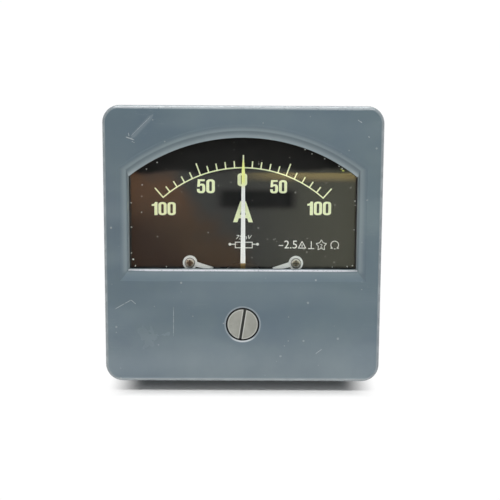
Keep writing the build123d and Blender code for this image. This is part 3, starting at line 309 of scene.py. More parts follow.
def new_finish(name):
    """Empty node material; returns it with its tree and its Principled shader"""
    finish = bpy.data.materials.new(name)
    finish.use_nodes = True
    tree = finish.node_tree
    return finish, tree, tree.nodes["Principled BSDF"]


def relief(tree, height, strength, distance):
    """Normal of a bump of that height"""
    bump = place(tree, "Bump", {"Height": height, "Strength": strength, "Distance": distance})
    return bump.outputs["Normal"]


# Finishes

def cloudy(tree, scale, sharpness):
    """Tone of soft clouds"""
    return use(tree, soft_clouds, Scale=scale, Sharpness=sharpness)["Tone"]


def grainy(tree, scale):
    """Height of a moulded grain"""
    return use(tree, moulded_grain, Scale=scale)["Height"]


def metal_finish(name, colour, dark, roughness, centre=None, tarnish=0.35):
    """Bare metal with grain, tarnish in patches and fine scratches"""
    finish, tree, shader = new_finish(name)
    grain = use(tree, rolled_grain, Stretch=(1.0, 1.0, 12.0), Scale=250.0)["Tone"]
    clouds = cloudy(tree, 420.0, 0.6)
    worn = use(tree, fine_scratches, Scale=400.0, Amount=0.8)["Mask"]
    shade = coat(tree, colour, clouds, tarnish, dark)
    shade = coat(tree, shade, grain, 0.25, dark)
    rough = sums(tree, "MULTIPLY_ADD", grain, 0.12, roughness)
    rough = sums(tree, "ADD", rough, times(tree, clouds, 0.12))
    if centre is None:
        height = grain
    else:
        height = use(tree, lathe_rings, Centre=centre, Pitch=0.00018)["Height"]
    height = sums(tree, "SUBTRACT", height, worn)
    normal = relief(tree, height, 0.25, 0.00001)
    feed(tree, shader, Base_Color=shade, Roughness=rough, Metallic=1.0, Normal=normal)
    return finish


def plastic_finish(name, colour, roughness, grain, depth=0.3):
    """Moulded plastic with grain, slight clouding and dust"""
    finish, tree, shader = new_finish(name)
    clouds = cloudy(tree, 130.0, 0.4)
    specks = use(tree, fine_specks, Scale=1300.0, Size=0.4, Rareness=10.0)["Mask"]
    pale = [min(1.0, value * 1.25 + 0.01) for value in colour]
    shade = blend(tree, clouds, colour, pale)
    shade = coat(tree, shade, specks, 0.07, (0.6, 0.6, 0.57))
    rough = sums(tree, "MULTIPLY_ADD", clouds, 0.1, roughness)
    height = grainy(tree, grain)
    feed(tree, shader, Base_Color=shade, Roughness=rough, Normal=relief(tree, height, depth, 0.00003))
    return finish


def wire_finish(name, colour, dark, direction, pitch):
    """Enamelled wire wound turn by turn, with painted shade between the turns"""
    finish, tree, shader = new_finish(name)
    turns = use(tree, wire_turns, Direction=direction, Pitch=pitch)
    shade = blend(tree, turns["Tone"], dark, colour)
    clouds = cloudy(tree, 300.0, 0.3)
    rough = sums(tree, "MULTIPLY_ADD", clouds, 0.15, 0.28)
    normal = relief(tree, turns["Height"], 0.8, 0.00012)
    feed(tree, shader, Base_Color=shade, Roughness=rough, Metallic=0.9, Normal=normal)
    return finish


def rubber_finish():
    """Black rubber with bloom"""
    finish, tree, shader = new_finish("black_rubber")
    bloom = cloudy(tree, 200.0, 0.5)
    shade = blend(tree, bloom, (0.012, 0.012, 0.013), (0.03, 0.03, 0.031))
    height = grainy(tree, 1800.0)
    feed(
        tree, shader, Base_Color=shade, Roughness=sums(tree, "MULTIPLY_ADD", bloom, 0.15, 0.7),
        Normal=relief(tree, height, 0.35, 0.00004),
    )
    return finish


# Marks on the face of the cover, in millimetres on X and Z: ends and half width
face_scratches = [
    ((-26.3, 36.6), (-31.8, 31.3), 0.05),
    ((-33.2, 31.0), (-30.9, 30.2), 0.17),
    ((-32.5, 32.2), (-32.3, 31.2), 0.09),
    ((-31.6, 29.8), (-30.8, 29.4), 0.1),
    ((-37.0, -18.5), (-32.3, -15.8), 0.09),
    ((-32.3, -15.8), (-30.9, -17.0), 0.1),
    ((-20.05, -18.4), (-20.1, -26.4), 0.08),
    ((23.2, -30.1), (21.4, -31.5), 0.1),
    ((32.3, 36.1), (33.5, 35.3), 0.12),
    ((35.4, 31.5), (35.7, 31.2), 0.12),
    ((-4.75, -22.1), (-4.6, -22.3), 0.3),
]


def scratch_and_highlight(tree, start, end, half_width, breaks):
    """Mask of one line between two places, in millimetres, for a scratch and also for a painted highlight
    line
    """
    return use(
        tree, scratch_and_highlight_line, From=tuple(value * MM for value in start), To=tuple(value * MM for value in end),
        Half_Width=half_width * MM, Breaks=breaks,
    )["Mask"]


def cover_finish():
    """Blue-grey moulded plastic with its scratches, rubbed edges and dust, and with painted highlights,
    reflections and shade
    """
    finish, tree, shader = new_finish("cover_plastic")
    clouds = cloudy(tree, 45.0, 0.5)
    shade = blend(tree, clouds, (0.094, 0.135, 0.169), (0.111, 0.156, 0.177))
    parts = parts_of(tree)
    sideways = unsigned(tree, parts["X"])

    # Scratches, dust, rubbed outer edges and a smear at the lower left
    face = cover_front_y / MM
    marks = None
    for (x0, z0), (x1, z1), half_width in face_scratches:
        mark = scratch_and_highlight(tree, (x0, face, z0), (x1, face, z1), half_width, 0.4)
        marks = mark if marks is None else larger(tree, marks, mark)
    wide = scratch_and_highlight(tree, (-25.6, face, 37.2), (-31.7, face, 30.7), 0.75, 0.1)
    hairs = use(tree, fine_scratches, Scale=55.0, Amount=0.9)["Mask"]
    specks = use(tree, fine_specks, Scale=900.0, Size=0.36, Rareness=26.0)["Mask"]
    half_size = [(high - low) / 2 for low, high in zip(*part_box("front_cover"))]
    middle = [(high + low) / 2 for low, high in zip(*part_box("front_cover"))]
    rub = use(tree, edge_rub, Centre=middle, Half_Size=half_size, Width=1.1 * MM)["Mask"]
    smudge_at = (-26.2 * MM, cover_front_y, -26.9 * MM)
    smudge_gap = arrows(tree, "DISTANCE", spot_on_piece(tree), smudge_at, output="Value")
    streaky = noise_at(tree, 260.0, 4.0, Distortion=0.6)
    smear = times(tree, fade_mm(tree, smudge_gap, 7.5, 0.0), fade(tree, streaky, 0.36, 0.8))

    # Painted reflection of the floor, paler towards the foot, and painted soft reflections in bands across
    floor_reflection = times(tree, fade_mm(tree, parts["Z"], -20.0, -36.0), sums(tree, "MULTIPLY_ADD", clouds, 0.5, 0.5))
    stretched = arrows(tree, "MULTIPLY", spot_on_piece(tree), (0.22, 1.0, 1.0))
    reflection_bands = noise_at(tree, 95.0, 1.0, stretched)

    # Window: painted highlight on the bevel, growing towards the crease, painted shade in the crease below it
    # and on the arch's lip behind that, a painted highlight on the lip's inner wall, stronger at the sides,
    # and a painted highlight along the sill's edge
    in_height = times(tree, fade_mm(tree, parts["Z"], 36.6, 36.0), fade_mm(tree, parts["Z"], -12.0, -11.5))
    in_window = times(tree, fade_mm(tree, sideways, 37.5, 36.8), in_height)
    from_crease = unsigned(tree, sums(tree, "SUBTRACT", parts["Y"], crease_y * MM))
    crease = times(tree, in_window, fade_mm(tree, from_crease, 0.4, 0.05))
    bevel = times(tree, in_window, fade_mm(tree, parts["Y"], -14.95, -13.6))
    bevel = times(tree, bevel, fade_mm(tree, parts["Z"], -8.5, -7.0, 0.3, 1.0))
    at_sides = fade_mm(tree, sideways, 30.0, 32.5, 0.16, 0.62)
    lip_highlight = times(tree, in_window, fade_mm(tree, parts["Y"], -13.0, -12.5))
    behind_crease = fade_mm(tree, parts["Y"], -13.36, crease_y)
    arch_lip_shade = times(tree, fade_mm(tree, parts["Y"], -12.45, -13.2), behind_crease)
    arch_lip_shade = times(tree, times(tree, arch_lip_shade, in_window), fade_mm(tree, parts["Z"], 12.0, 18.0))
    lip = scratch_and_highlight(tree, (-36.0, -12.85, -7.4), (36.0, -12.85, -7.4), 0.52, 0.32)

    # Outer edges, all painted highlights: a pale line round the face's rounded square, one along the foot,
    # and two streaks along the top
    square = arrows(tree, "MULTIPLY", arrows(tree, "ABSOLUTE", spot_on_piece(tree)), (1.0, 0.0, 1.0))
    corner = (corner_centre * MM, 0.0, corner_centre * MM)
    square = arrows(tree, "MAXIMUM", arrows(tree, "SUBTRACT", square, corner), (0.0, 0.0, 0.0))
    past_corner = fade_mm(tree, length_of(tree, square), 3.95, 4.25)
    edge_highlight = times(tree, past_corner, fade_mm(tree, parts["Y"], -13.5, -14.0))
    foot_highlight = times(tree, fade_mm(tree, parts["Z"], -38.5, -39.3), fade_mm(tree, parts["Y"], -13.5, -14.2))
    streak = larger(
        tree, scratch_and_highlight(tree, (-42.0, -13.9, 40.3), (42.0, -14.3, 40.1), 0.5, 0.2),
        scratch_and_highlight(tree, (-42.0, -14.9, 39.4), (42.0, -14.95, 39.15), 0.5, 0.3),
    )

    # Adjuster's bore: a painted highlight as a pale crescent on its rim, and painted shade inside
    from_bore = off_axis(tree, adjuster_axis)
    bore_radius = length_of(tree, from_bore)
    ring = times(tree, fade_mm(tree, bore_radius, 5.5, 5.1), fade_mm(tree, bore_radius, 4.7, 4.9))
    crescent = times(tree, ring, fade_mm(tree, parts_of(tree, from_bore)["Z"], -3.4, -4.9, 0.22, 0.8))
    recess_shade = times(tree, fade_mm(tree, bore_radius, 5.3, 5.1), fade_mm(tree, parts["Y"], -14.8, -14.5))

    # Painted light among the coats: the reflection bands, the floor reflection and the foot, edge, bevel,
    # lip, crescent, top and sill highlights; painted shade: the arch's lip, the crease and the bore. The rest
    # are scratches, wear, a smear and dust.
    painted_shade, rubbed = (0.06, 0.085, 0.1), (0.5, 0.55, 0.57)
    for mask, amount, colour in (
        (fade(tree, reflection_bands, 0.4, 0.66), 0.13, (0.27, 0.33, 0.35)),
        (floor_reflection, 0.3, (0.32, 0.36, 0.38)),
        (foot_highlight, 0.45, (0.42, 0.47, 0.49)),
        (edge_highlight, 0.34, (0.36, 0.37, 0.37)),
        (bevel, 0.42, (0.3, 0.36, 0.37)),
        (lip_highlight, at_sides, (0.36, 0.41, 0.42)),
        (arch_lip_shade, 0.45, painted_shade),
        (crease, 0.3, painted_shade),
        (hairs, 0.3, (0.34, 0.38, 0.4)),
        (smear, 0.1, (0.4, 0.43, 0.43)),
        (specks, 0.28, (0.5, 0.52, 0.5)),
        (rub, 0.32, rubbed),
        (wide, 0.12, rubbed),
        (marks, 0.42, (0.6, 0.62, 0.6)),
        (crescent, 1.0, (0.62, 0.66, 0.68)),
        (recess_shade, 1.0, (0.008, 0.01, 0.01)),
        (streak, 0.3, (0.7, 0.74, 0.76)),
        (lip, 0.9, (0.86, 0.87, 0.93)),
    ):
        shade = coat(tree, shade, mask, amount, colour)
    rough = sums(tree, "MULTIPLY_ADD", clouds, 0.06, 0.19)
    rough = sums(tree, "ADD", rough, times(tree, larger(tree, marks, smear), 0.25))
    grain = grainy(tree, 1500.0)
    height = sums(tree, "SUBTRACT", times(tree, grain, 0.15), marks)
    feed(tree, shader, Base_Color=shade, Roughness=rough, Normal=relief(tree, height, 0.25, 0.00006))
    return finish


def adjuster_finish():
    """Warm grey plastic, paler at the slot's edges, with a painted highlight on the rim and painted shade in
    the slot and round the disc's side
    """
    finish, tree, shader = new_finish("adjuster_plastic")
    clouds = cloudy(tree, 300.0, 0.5)
    shade = blend(tree, clouds, (0.24, 0.245, 0.215), (0.3, 0.305, 0.275))
    flat = off_axis(tree, adjuster_axis)
    radius = length_of(tree, flat)
    rim = fade_mm(tree, radius, 4.0, 4.25)
    tilt = math.radians(8.7)
    across = arrows(tree, "DOT_PRODUCT", flat, (math.cos(tilt), 0.0, -math.sin(tilt)), output="Value")
    from_edge = unsigned(tree, sums(tree, "SUBTRACT", unsigned(tree, across), 0.5 * MM))
    lip = fade_mm(tree, from_edge, 0.22, 0.05)
    specks = use(tree, fine_specks, Scale=900.0, Size=0.5, Rareness=5.0)["Mask"]
    # The rim paler as a painted highlight on its edge, the slot's edges paler too
    pale = times(tree, larger(tree, times(tree, rim, 0.7), lip), 0.55)
    shade = blend(tree, pale, shade, (0.62, 0.63, 0.6))
    # Painted shade deeper than the face, in the slot and down the disc's side, and at the disc's outer edge
    inward = parts_of(tree)["Y"]
    recess_shade = times(tree, fade_mm(tree, inward, -14.85, -14.6), 0.93)
    recess_shade = larger(tree, recess_shade, times(tree, fade_mm(tree, radius, 4.3, 4.42), 0.85))
    shade = blend(tree, recess_shade, shade, (0.02, 0.024, 0.022))
    shade = coat(tree, shade, specks, 0.35, (0.1, 0.1, 0.09))
    height = grainy(tree, 2600.0)
    feed(
        tree, shader, Base_Color=shade, Roughness=sums(tree, "MULTIPLY_ADD", clouds, 0.1, 0.42),
        Normal=relief(tree, height, 0.3, 0.00004),
    )
    return finish


def glass_finish():
    """Clear window glass that lets the lamps through"""
    finish, tree, shader = new_finish("window_glass")
    feed(tree, shader, Base_Color=(0.97, 0.985, 0.98), Roughness=0.0, IOR=1.5, Transmission_Weight=1.0)
    lamp_ray = place(tree, "LightPath").outputs["Is Shadow Ray"]
    open_way = place(tree, "BsdfTransparent", {"Color": (0.93, 0.95, 0.94)})
    choice = place(tree, "MixShader", {0: lamp_ray, 1: shader.outputs["BSDF"], 2: open_way.outputs["BSDF"]})
    tree.links.new(choice.outputs["Shader"], tree.nodes["Material Output"].inputs["Surface"])
    return finish


def ruby_finish():
    """Polished synthetic ruby"""
    finish, tree, shader = new_finish("ruby")
    clouds = use(tree, soft_clouds, Scale=900.0)["Tone"]
    shade = blend(tree, clouds, (0.45, 0.01, 0.04), (0.62, 0.03, 0.08))
    feed(tree, shader, Base_Color=shade, Roughness=0.08, IOR=1.76, Coat_Weight=0.5)
    return finish


def dial_finish():
    """Matt black paint with dust specks"""
    finish, tree, shader = new_finish("dial_paint")
    clouds = cloudy(tree, 90.0, 0.4)
    shade = blend(tree, clouds, (0.009, 0.009, 0.0095), (0.015, 0.0145, 0.014))
    specks = use(tree, fine_specks, Scale=1100.0, Size=0.35, Rareness=20.0)["Mask"]
    shade = coat(tree, shade, specks, 0.5, (0.35, 0.34, 0.3))
    height = grainy(tree, 3500.0)
    feed(
        tree, shader, Base_Color=shade, Roughness=sums(tree, "MULTIPLY_ADD", clouds, 0.1, 0.6),
        Specular_IOR_Level=0.15, Normal=relief(tree, height, 0.3, 0.00003),
    )
    return finish


def print_finish(name, thin, thick):
    """Printed ink whose film is slightly uneven"""
    finish, tree, shader = new_finish(name)
    film = cloudy(tree, 900.0, 0.5)
    shade = blend(tree, film, thin, thick)
    feed(
        tree, shader, Base_Color=shade, Roughness=0.6,
        Normal=relief(tree, grainy(tree, 4000.0), 0.3, 0.00002),
    )
    return finish


def pointer_finish():
    """White paint, with painted shade as a grey line along the ridge, and a yellow-green luminous spear"""
    finish, tree, shader = new_finish("pointer_paint")
    flat = off_axis(tree, pivot)
    radius = length_of(tree, flat)
    across = parts_of(tree, flat)["X"]
    # Grey line along the middle: painted shade of the pointer's fold
    middle = fade_mm(tree, unsigned(tree, across), 0.28, 0.1)
    film = cloudy(tree, 700.0, 0.4)
    shade = blend(tree, film, (0.88, 0.885, 0.87), (0.93, 0.93, 0.91))
    shade = coat(tree, shade, middle, 0.16, (0.5, 0.52, 0.52))
    before_tip = fade_mm(tree, radius, 39.3, 37.6, 0.4, 1.0)
    lit = times(tree, fade_mm(tree, radius, 29.5, 32.5), before_tip)
    shade = blend(tree, lit, shade, (0.86, 0.9, 0.3))
    feed(
        tree, shader, Base_Color=shade, Roughness=0.45,
        Normal=relief(tree, sums(tree, "MULTIPLY_ADD", middle, 2.0, film), 0.3, 0.00005),
    )
    return finish


def screw_finish():
    """Bright screw heads with a painted highlight on the front of the dome, and painted shade in the middle,
    round the rim and in the recess, in rings round both screws' axes
    """
    finish = metal_finish("screw_brass", (0.9, 0.86, 0.72), (0.22, 0.17, 0.1), 0.22, tarnish=0.8)
    tree = finish.node_tree
    shader = tree.nodes["Principled BSDF"]
    shade = shader.inputs["Base Color"].links[0].from_socket
    inward = parts_of(tree)["Y"]
    low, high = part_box("dial_screws")
    head_r = 1.5 * MM
    axis_gap = (high[0] - low[0]) / 2 - head_r
    flat = off_axis(tree, [(one + other) / 2 for one, other in zip(low, high)])
    radius = length_of(tree, arrows(tree, "SUBTRACT", arrows(tree, "ABSOLUTE", flat), (axis_gap, 0.0, 0.0)))
    # Coats: painted highlight at the front, then painted shade in the middle, round the rim and in the cross
    # recess
    for mask, amount, colour in (
        (fade_mm(tree, inward, -5.4, -5.6), 1.0, (0.95, 0.94, 0.88)),
        (fade_mm(tree, radius, 1.0, 0.7), 0.85, (0.16, 0.12, 0.06)),
        (fade_mm(tree, radius, 1.3, 1.42), 1.0, (0.05, 0.05, 0.045)),
        (fade_mm(tree, inward, -5.75, -5.5), 1.0, (0.02, 0.014, 0.01)),
    ):
        shade = coat(tree, shade, mask, amount, colour)
    feed(tree, shader, Base_Color=shade, Metallic=fade_mm(tree, inward, -5.75, -5.5, 1.0, 0.2))
    return finish


brass = metal_finish("brass", (0.62, 0.46, 0.2), (0.3, 0.19, 0.08), 0.25)
plated_steel = metal_finish("plated_steel", (0.56, 0.56, 0.54), (0.3, 0.29, 0.27), 0.28)
sheet_steel = metal_finish("sheet_steel", (0.5, 0.51, 0.49), (0.28, 0.28, 0.26), 0.34)
aluminium = metal_finish("aluminium", (0.72, 0.73, 0.74), (0.5, 0.5, 0.5), 0.36)
soft_iron = metal_finish(
    "soft_iron", (0.3, 0.3, 0.31), (0.14, 0.13, 0.12), 0.4, centre=tuple(pivot), tarnish=0.5
)
magnet_alloy = metal_finish("magnet_alloy", (0.38, 0.38, 0.39), (0.2, 0.2, 0.21), 0.3, centre=tuple(pivot))
staff_steel = metal_finish("staff_steel", (0.62, 0.62, 0.63), (0.4, 0.4, 0.4), 0.12, centre=tuple(pivot))
spring_bronze = metal_finish("spring_bronze", (0.58, 0.34, 0.17), (0.34, 0.17, 0.08), 0.22)
tinned_metal = metal_finish("tinned_metal", (0.6, 0.6, 0.57), (0.4, 0.39, 0.35), 0.32)
stop_enamel = plastic_finish("stop_enamel", (0.72, 0.73, 0.72), 0.3, grain=3500.0)
rubber = rubber_finish()
housing_plastic = plastic_finish("housing_plastic", (0.02, 0.021, 0.022), 0.42, grain=1600.0, depth=0.5)

finish_of = {
    "front_cover": cover_finish(),
    "window_glass": glass_finish(),
    "zero_adjuster": adjuster_finish(),
    "rear_housing": housing_plastic,
    "dial_plate": dial_finish(),
    "scale_marks": print_finish("luminous_ink", (0.82, 0.89, 0.52), (0.91, 0.95, 0.64)),
    "dial_screws": screw_finish(),
    "pointer": pointer_finish(),
    "yoke_ring": soft_iron,
    "core_magnet": magnet_alloy,
    "coil_winding": wire_finish("copper_wire", (0.6, 0.22, 0.08), (0.16, 0.05, 0.02), (0, 0, 1), 0.00025),
    "resistor_bobbin": plastic_finish("bobbin_ceramic", (0.68, 0.65, 0.58), 0.55, grain=3000.0),
    "resistor_winding": wire_finish(
        "resistance_wire", (0.4, 0.26, 0.14), (0.1, 0.06, 0.03), (0, 1, 0), 0.0003
    ),
    "solder_lugs": tinned_metal,
    "lead_input": plastic_finish("red_insulation", (0.36, 0.02, 0.015), 0.4, grain=3500.0),
    "lead_series": plastic_finish("white_insulation", (0.66, 0.66, 0.6), 0.4, grain=3500.0),
    "lead_return": plastic_finish("black_insulation", (0.015, 0.015, 0.015), 0.4, grain=3500.0),
}
for finish, names in (
    (rubber, ("window_gasket", "adjuster_seal", "panel_gasket")),
    (sheet_steel, ("glass_retainer", "adjuster_plate")),
    (plated_steel, ("retainer_screws", "cover_screws", "mounting_studs", "plate_screws", "bridge_screws",
                    "movement_screws", "resistor_screw")),
    (stop_enamel, ("pointer_stop_left", "pointer_stop_right")),
    (aluminium, ("movement_plate", "coil_former", "front_bridge", "rear_bridge")),
    (staff_steel, ("front_staff", "rear_staff")),
    (spring_bronze, ("front_hairspring", "rear_hairspring")),
    (ruby_finish(), ("front_jewel", "rear_jewel")),
    (brass, ("pointer_hub", "balance_weights", "core_holders", "front_jewel_screw", "rear_jewel_screw",
             "jewel_nuts", "zero_lever", "spring_anchor", "terminal_studs", "terminal_washers",
             "terminal_nuts")),
):
    finish_of.update(dict.fromkeys(names, finish))
for name, finish in finish_of.items():
    for material_slot in nodes[name].material_slots:
        material_slot.material = finish


# Print on the dial

ink = finish_of["scale_marks"]
white_ink = print_finish("white_ink", (0.86, 0.87, 0.8), (0.93, 0.93, 0.88))


def placed(name, data):
    """New object in the scene"""
    made = bpy.data.objects.new(name, data)
    bpy.context.scene.collection.objects.link(made)
    return made


def finished_piece(name, mesh, finish, body):
    """Object of a finished mesh that rides on a body"""
    mesh.materials.clear()
    mesh.materials.append(finish)
    piece = placed(name, mesh)
    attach(piece, body)
    return piece


def print_on_dial(name, curve, finish, left, right, foot, top):
    """Raised print of a text or flat curve that fills a box on the dial, in millimetres on X and Z"""
    curve.extrude = 0.5
    carrier = placed(name + "_outline", curve)
    bpy.context.view_layer.update()
    mesh = bpy.data.meshes.new_from_object(carrier.evaluated_get(bpy.context.evaluated_depsgraph_get()))
    bpy.data.objects.remove(carrier)
    low = [min(v.co[axis] for v in mesh.vertices) for axis in range(3)]
    high = [max(v.co[axis] for v in mesh.vertices) for axis in range(3)]
    stretch_x = (right - left) * MM / (high[0] - low[0])
    stretch_z = (top - foot) * MM / (high[1] - low[1])
    stretch_y = print_thick / (high[2] - low[2])
    upright = Matrix(((stretch_x, 0, 0, 0), (0, 0, -stretch_y, 0), (0, stretch_z, 0, 0), (0, 0, 0, 1)))
    mesh.transform(Matrix.Translation((-low[0], -low[1], -low[2])))
    mesh.transform(upright)
    mesh.transform(Matrix.Translation((left * MM, dial_face_y, foot * MM)))
    return finished_piece(name, mesh, finish, "case")


def printed_words(name, words, left, right, foot, top, slant=0.0):
    """Words in the plain face"""
    text = bpy.data.curves.new(name, "FONT")
    text.body = words
    text.size = 1.0
    text.shear = slant
    text.resolution_u = 4
    return print_on_dial(name, text, white_ink, left, right, foot, top)


def rounded_box(x0, z0, x1, z1, round_x, round_z):
    """Outline of a box with rounded corners"""
    outline = []
    for corner_x, corner_z, start in ((x1 - round_x, z1 - round_z, 0), (x0 + round_x, z1 - round_z, 1),
                                      (x0 + round_x, z0 + round_z, 2), (x1 - round_x, z0 + round_z, 3)):
        for step in range(7):
            angle = math.pi / 2 * (start + step / 6)
            outline.append((corner_x + round_x * math.cos(angle), corner_z + round_z * math.sin(angle)))
    return outline


# Bold narrow characters as outlines in a box one wide and one high; an outline within another is a hole
bold_outlines = {
    "0": [rounded_box(0.0, 0.0, 1.0, 1.0, 0.42, 0.2), rounded_box(0.35, 0.15, 0.65, 0.85, 0.14, 0.07)],
    "1": [[(0.38, 0.0), (0.76, 0.0), (0.76, 1.0), (0.46, 1.0), (0.4, 0.91), (0.26, 0.85), (0.06, 0.83),
           (0.06, 0.7), (0.38, 0.7)]],
    "5": [[(0.93, 1.0), (0.93, 0.86), (0.4, 0.86), (0.38, 0.66), (0.5, 0.68), (0.66, 0.69), (0.84, 0.66),
           (0.95, 0.58), (0.99, 0.46), (0.99, 0.22), (0.94, 0.1), (0.82, 0.03), (0.66, 0.0), (0.36, 0.0),
           (0.18, 0.03), (0.06, 0.1), (0.02, 0.2), (0.02, 0.3), (0.36, 0.3), (0.36, 0.19), (0.43, 0.145),
           (0.56, 0.145), (0.64, 0.19), (0.64, 0.49), (0.58, 0.545), (0.44, 0.545), (0.36, 0.5), (0.35, 0.46),
           (0.05, 0.46), (0.12, 1.0)]],
    "A": [[(0.0, 0.0), (0.22, 0.0), (0.288, 0.19), (0.712, 0.19), (0.78, 0.0), (1.0, 0.0), (0.64, 1.0),
           (0.36, 1.0)],
          [(0.353, 0.36), (0.647, 0.36), (0.5, 0.77)]],
}


def bold_print(name, characters, left, right, foot, top):
    """Characters of the luminous bold narrow face"""
    outline = bpy.data.curves.new(name, "CURVE")
    outline.dimensions = "2D"
    outline.fill_mode = "BOTH"
    reached = 0.0
    for character in characters:
        for points in bold_outlines[character]:
            loop = outline.splines.new("POLY")
            loop.points.add(len(points) - 1)
            for point, (x, z) in zip(loop.points, points):
                point.co = (reached + x, z, 0.0, 1.0)
            loop.use_cyclic_u = True
        reached += 0.86 if character == "1" else 1.1
    return print_on_dial(name, outline, ink, left, right, foot, top)


bold_print("number_100_left", "100", -27.1, -20.0, 7.95, 11.85)
bold_print("number_50_left", "50", -13.7, -8.4, 14.55, 18.65)
bold_print("number_zero", "0", -1.7, 1.15, 16.65, 20.5)
bold_print("number_50_right", "50", 7.95, 12.95, 14.6, 18.5)
bold_print("number_100_right", "100", 19.0, 26.1, 8.15, 12.2)
bold_print("unit_ampere", "A", -3.0, 2.9, 5.95, 12.2)
printed_words("shunt_voltage", "75mV", -2.1, 2.65, 0.85, 2.1, slant=0.25)
printed_words("accuracy_class", "2.5", 12.3, 16.1, -1.85, 0.55)
printed_words("star_number", "2", 23.02, 23.72, -1.5, -0.45)


def stroke(mesh, x0, z0, x1, z1, width):
    """Adds a straight printed line to a bmesh, in millimetres on X and Z"""
    run = Vector((x1 - x0, 0.0, z1 - z0)) * MM
    middle = Vector(((x0 + x1) / 2 * MM, dial_face_y - print_thick / 2, (z0 + z1) / 2 * MM))
    turn = Matrix.Rotation(-math.atan2(run.z, run.x), 4, "Y")
    size = Matrix.Diagonal((run.length, print_thick, width * MM, 1.0))
    bmesh.ops.create_cube(mesh, size=1.0, matrix=Matrix.Translation(middle) @ turn @ size)


def spot(mesh, x, z, radius):
    """Adds a round printed dot to a bmesh"""
    centre = Matrix.Translation((x * MM, dial_face_y - print_thick / 2, z * MM))
    bmesh.ops.create_cone(
        mesh, cap_ends=True, segments=16, radius1=radius * MM, radius2=radius * MM, depth=print_thick,
        matrix=centre @ Matrix.Rotation(math.pi / 2, 4, "X"),
    )


def bow(mesh, x, z, radius, width, start, angle):
    """Adds a printed arc round a centre to a bmesh, from a start angle through an angle, clockwise"""
    corners = []
    for reach in (radius - width / 2, radius + width / 2):
        for depth in (0.0, print_thick):
            corners.append(mesh.verts.new((
                (x + reach * math.cos(start)) * MM, dial_face_y - depth, (z + reach * math.sin(start)) * MM,
            )))
    section = mesh.faces.new((corners[0], corners[1], corners[3], corners[2]))
    bmesh.ops.spin(
        mesh, geom=[section, *section.edges, *section.verts], cent=(x * MM, 0, z * MM), axis=(0, 1, 0),
        angle=angle, steps=20, use_duplicate=False,
    )


symbols = bmesh.new()
line_width = 0.24
# Shunt: two dots joined by a box
spot(symbols, -3.9, -0.64, 0.42)
spot(symbols, 4.32, -0.6, 0.42)
for x0, z0, x1, z1 in (
    (-3.9, -0.64, -2.3, -0.64), (2.75, -0.6, 4.32, -0.6), (-2.4, -1.7, 2.85, -1.7),
    (-2.4, -0.02, 2.85, -0.02), (-2.3, -1.7, -2.3, -0.02), (2.75, -1.7, 2.75, -0.02),
    # Direct current and the triangle of the impact class
    (10.65, -0.95, 12.0, -0.95), (16.45, -1.7, 18.8, -1.7), (16.5, -1.75, 17.6, 0.3),
    (18.72, -1.75, 17.6, 0.3),
):
    stroke(symbols, x0, z0, x1, z1, line_width)
stroke(symbols, 17.6, -1.35, 17.6, -0.6, 0.22)
# Upright use, insulation star, moving coil
stroke(symbols, 19.45, -1.85, 21.25, -1.85, line_width)
stroke(symbols, 20.35, -1.85, 20.35, 0.35, line_width)
star = [(23.36 + reach * math.sin(math.radians(a)), -0.84 + reach * math.cos(math.radians(a)))
        for a in range(0, 360, 36) for reach in [1.66 if a % 72 == 0 else 0.9]]
for (x0, z0), (x1, z1) in zip(star, star[1:] + star[:1]):
    stroke(symbols, x0, z0, x1, z1, 0.17)
bow(symbols, 27.35, -0.72, 1.15, 0.2, math.radians(228), math.radians(276))
stroke(symbols, 26.1, -1.68, 26.75, -1.68, line_width)
stroke(symbols, 27.95, -1.68, 28.6, -1.68, line_width)
stroke(symbols, 27.15, -1.9, 27.55, -1.9, 0.2)
bmesh.ops.recalc_face_normals(symbols, faces=symbols.faces)
symbol_mesh = bpy.data.meshes.new("dial_symbols")
symbols.to_mesh(symbol_mesh)
symbols.free()
finished_piece("dial_symbols", symbol_mesh, white_ink, "case")


# Threads, nuts and rear marks

def turned(mesh, x, z, profile):
    """Adds a turned shape round an axis along Y; the profile lists Y and radius in millimetres"""
    corners = [mesh.verts.new(((x + radius) * MM, y * MM, z * MM)) for y, radius in profile]
    lines = [mesh.edges.new(pair) for pair in zip(corners, corners[1:])]
    bmesh.ops.spin(
        mesh, geom=[*corners, *lines], cent=(x * MM, 0, z * MM), axis=(0, 1, 0), angle=2 * math.pi,
        steps=40, use_merge=True, use_duplicate=False,
    )


def thread(mesh, x, z, start, end, crest, root, pitch, steps=24):
    """Adds a helical thread round an axis along Y, in millimetres"""
    turns = int((end - start) / pitch) - 1
    corners = []
    for turn in range(turns):
        for reach, share in ((root, 0.0), (crest, 0.42), (crest, 0.58)):
            corners.append(mesh.verts.new(((x + reach) * MM, (start + (turn + share) * pitch) * MM, z * MM)))
    corners.append(mesh.verts.new(((x + root) * MM, (start + turns * pitch) * MM, z * MM)))
    lines = [mesh.edges.new(pair) for pair in zip(corners, corners[1:])]
    bmesh.ops.spin(
        mesh, geom=[*corners, *lines], cent=(x * MM, 0, z * MM), axis=(0, 1, 0), angle=2 * math.pi,
        dvec=(0, pitch * MM / steps, 0), steps=steps, use_duplicate=False,
    )


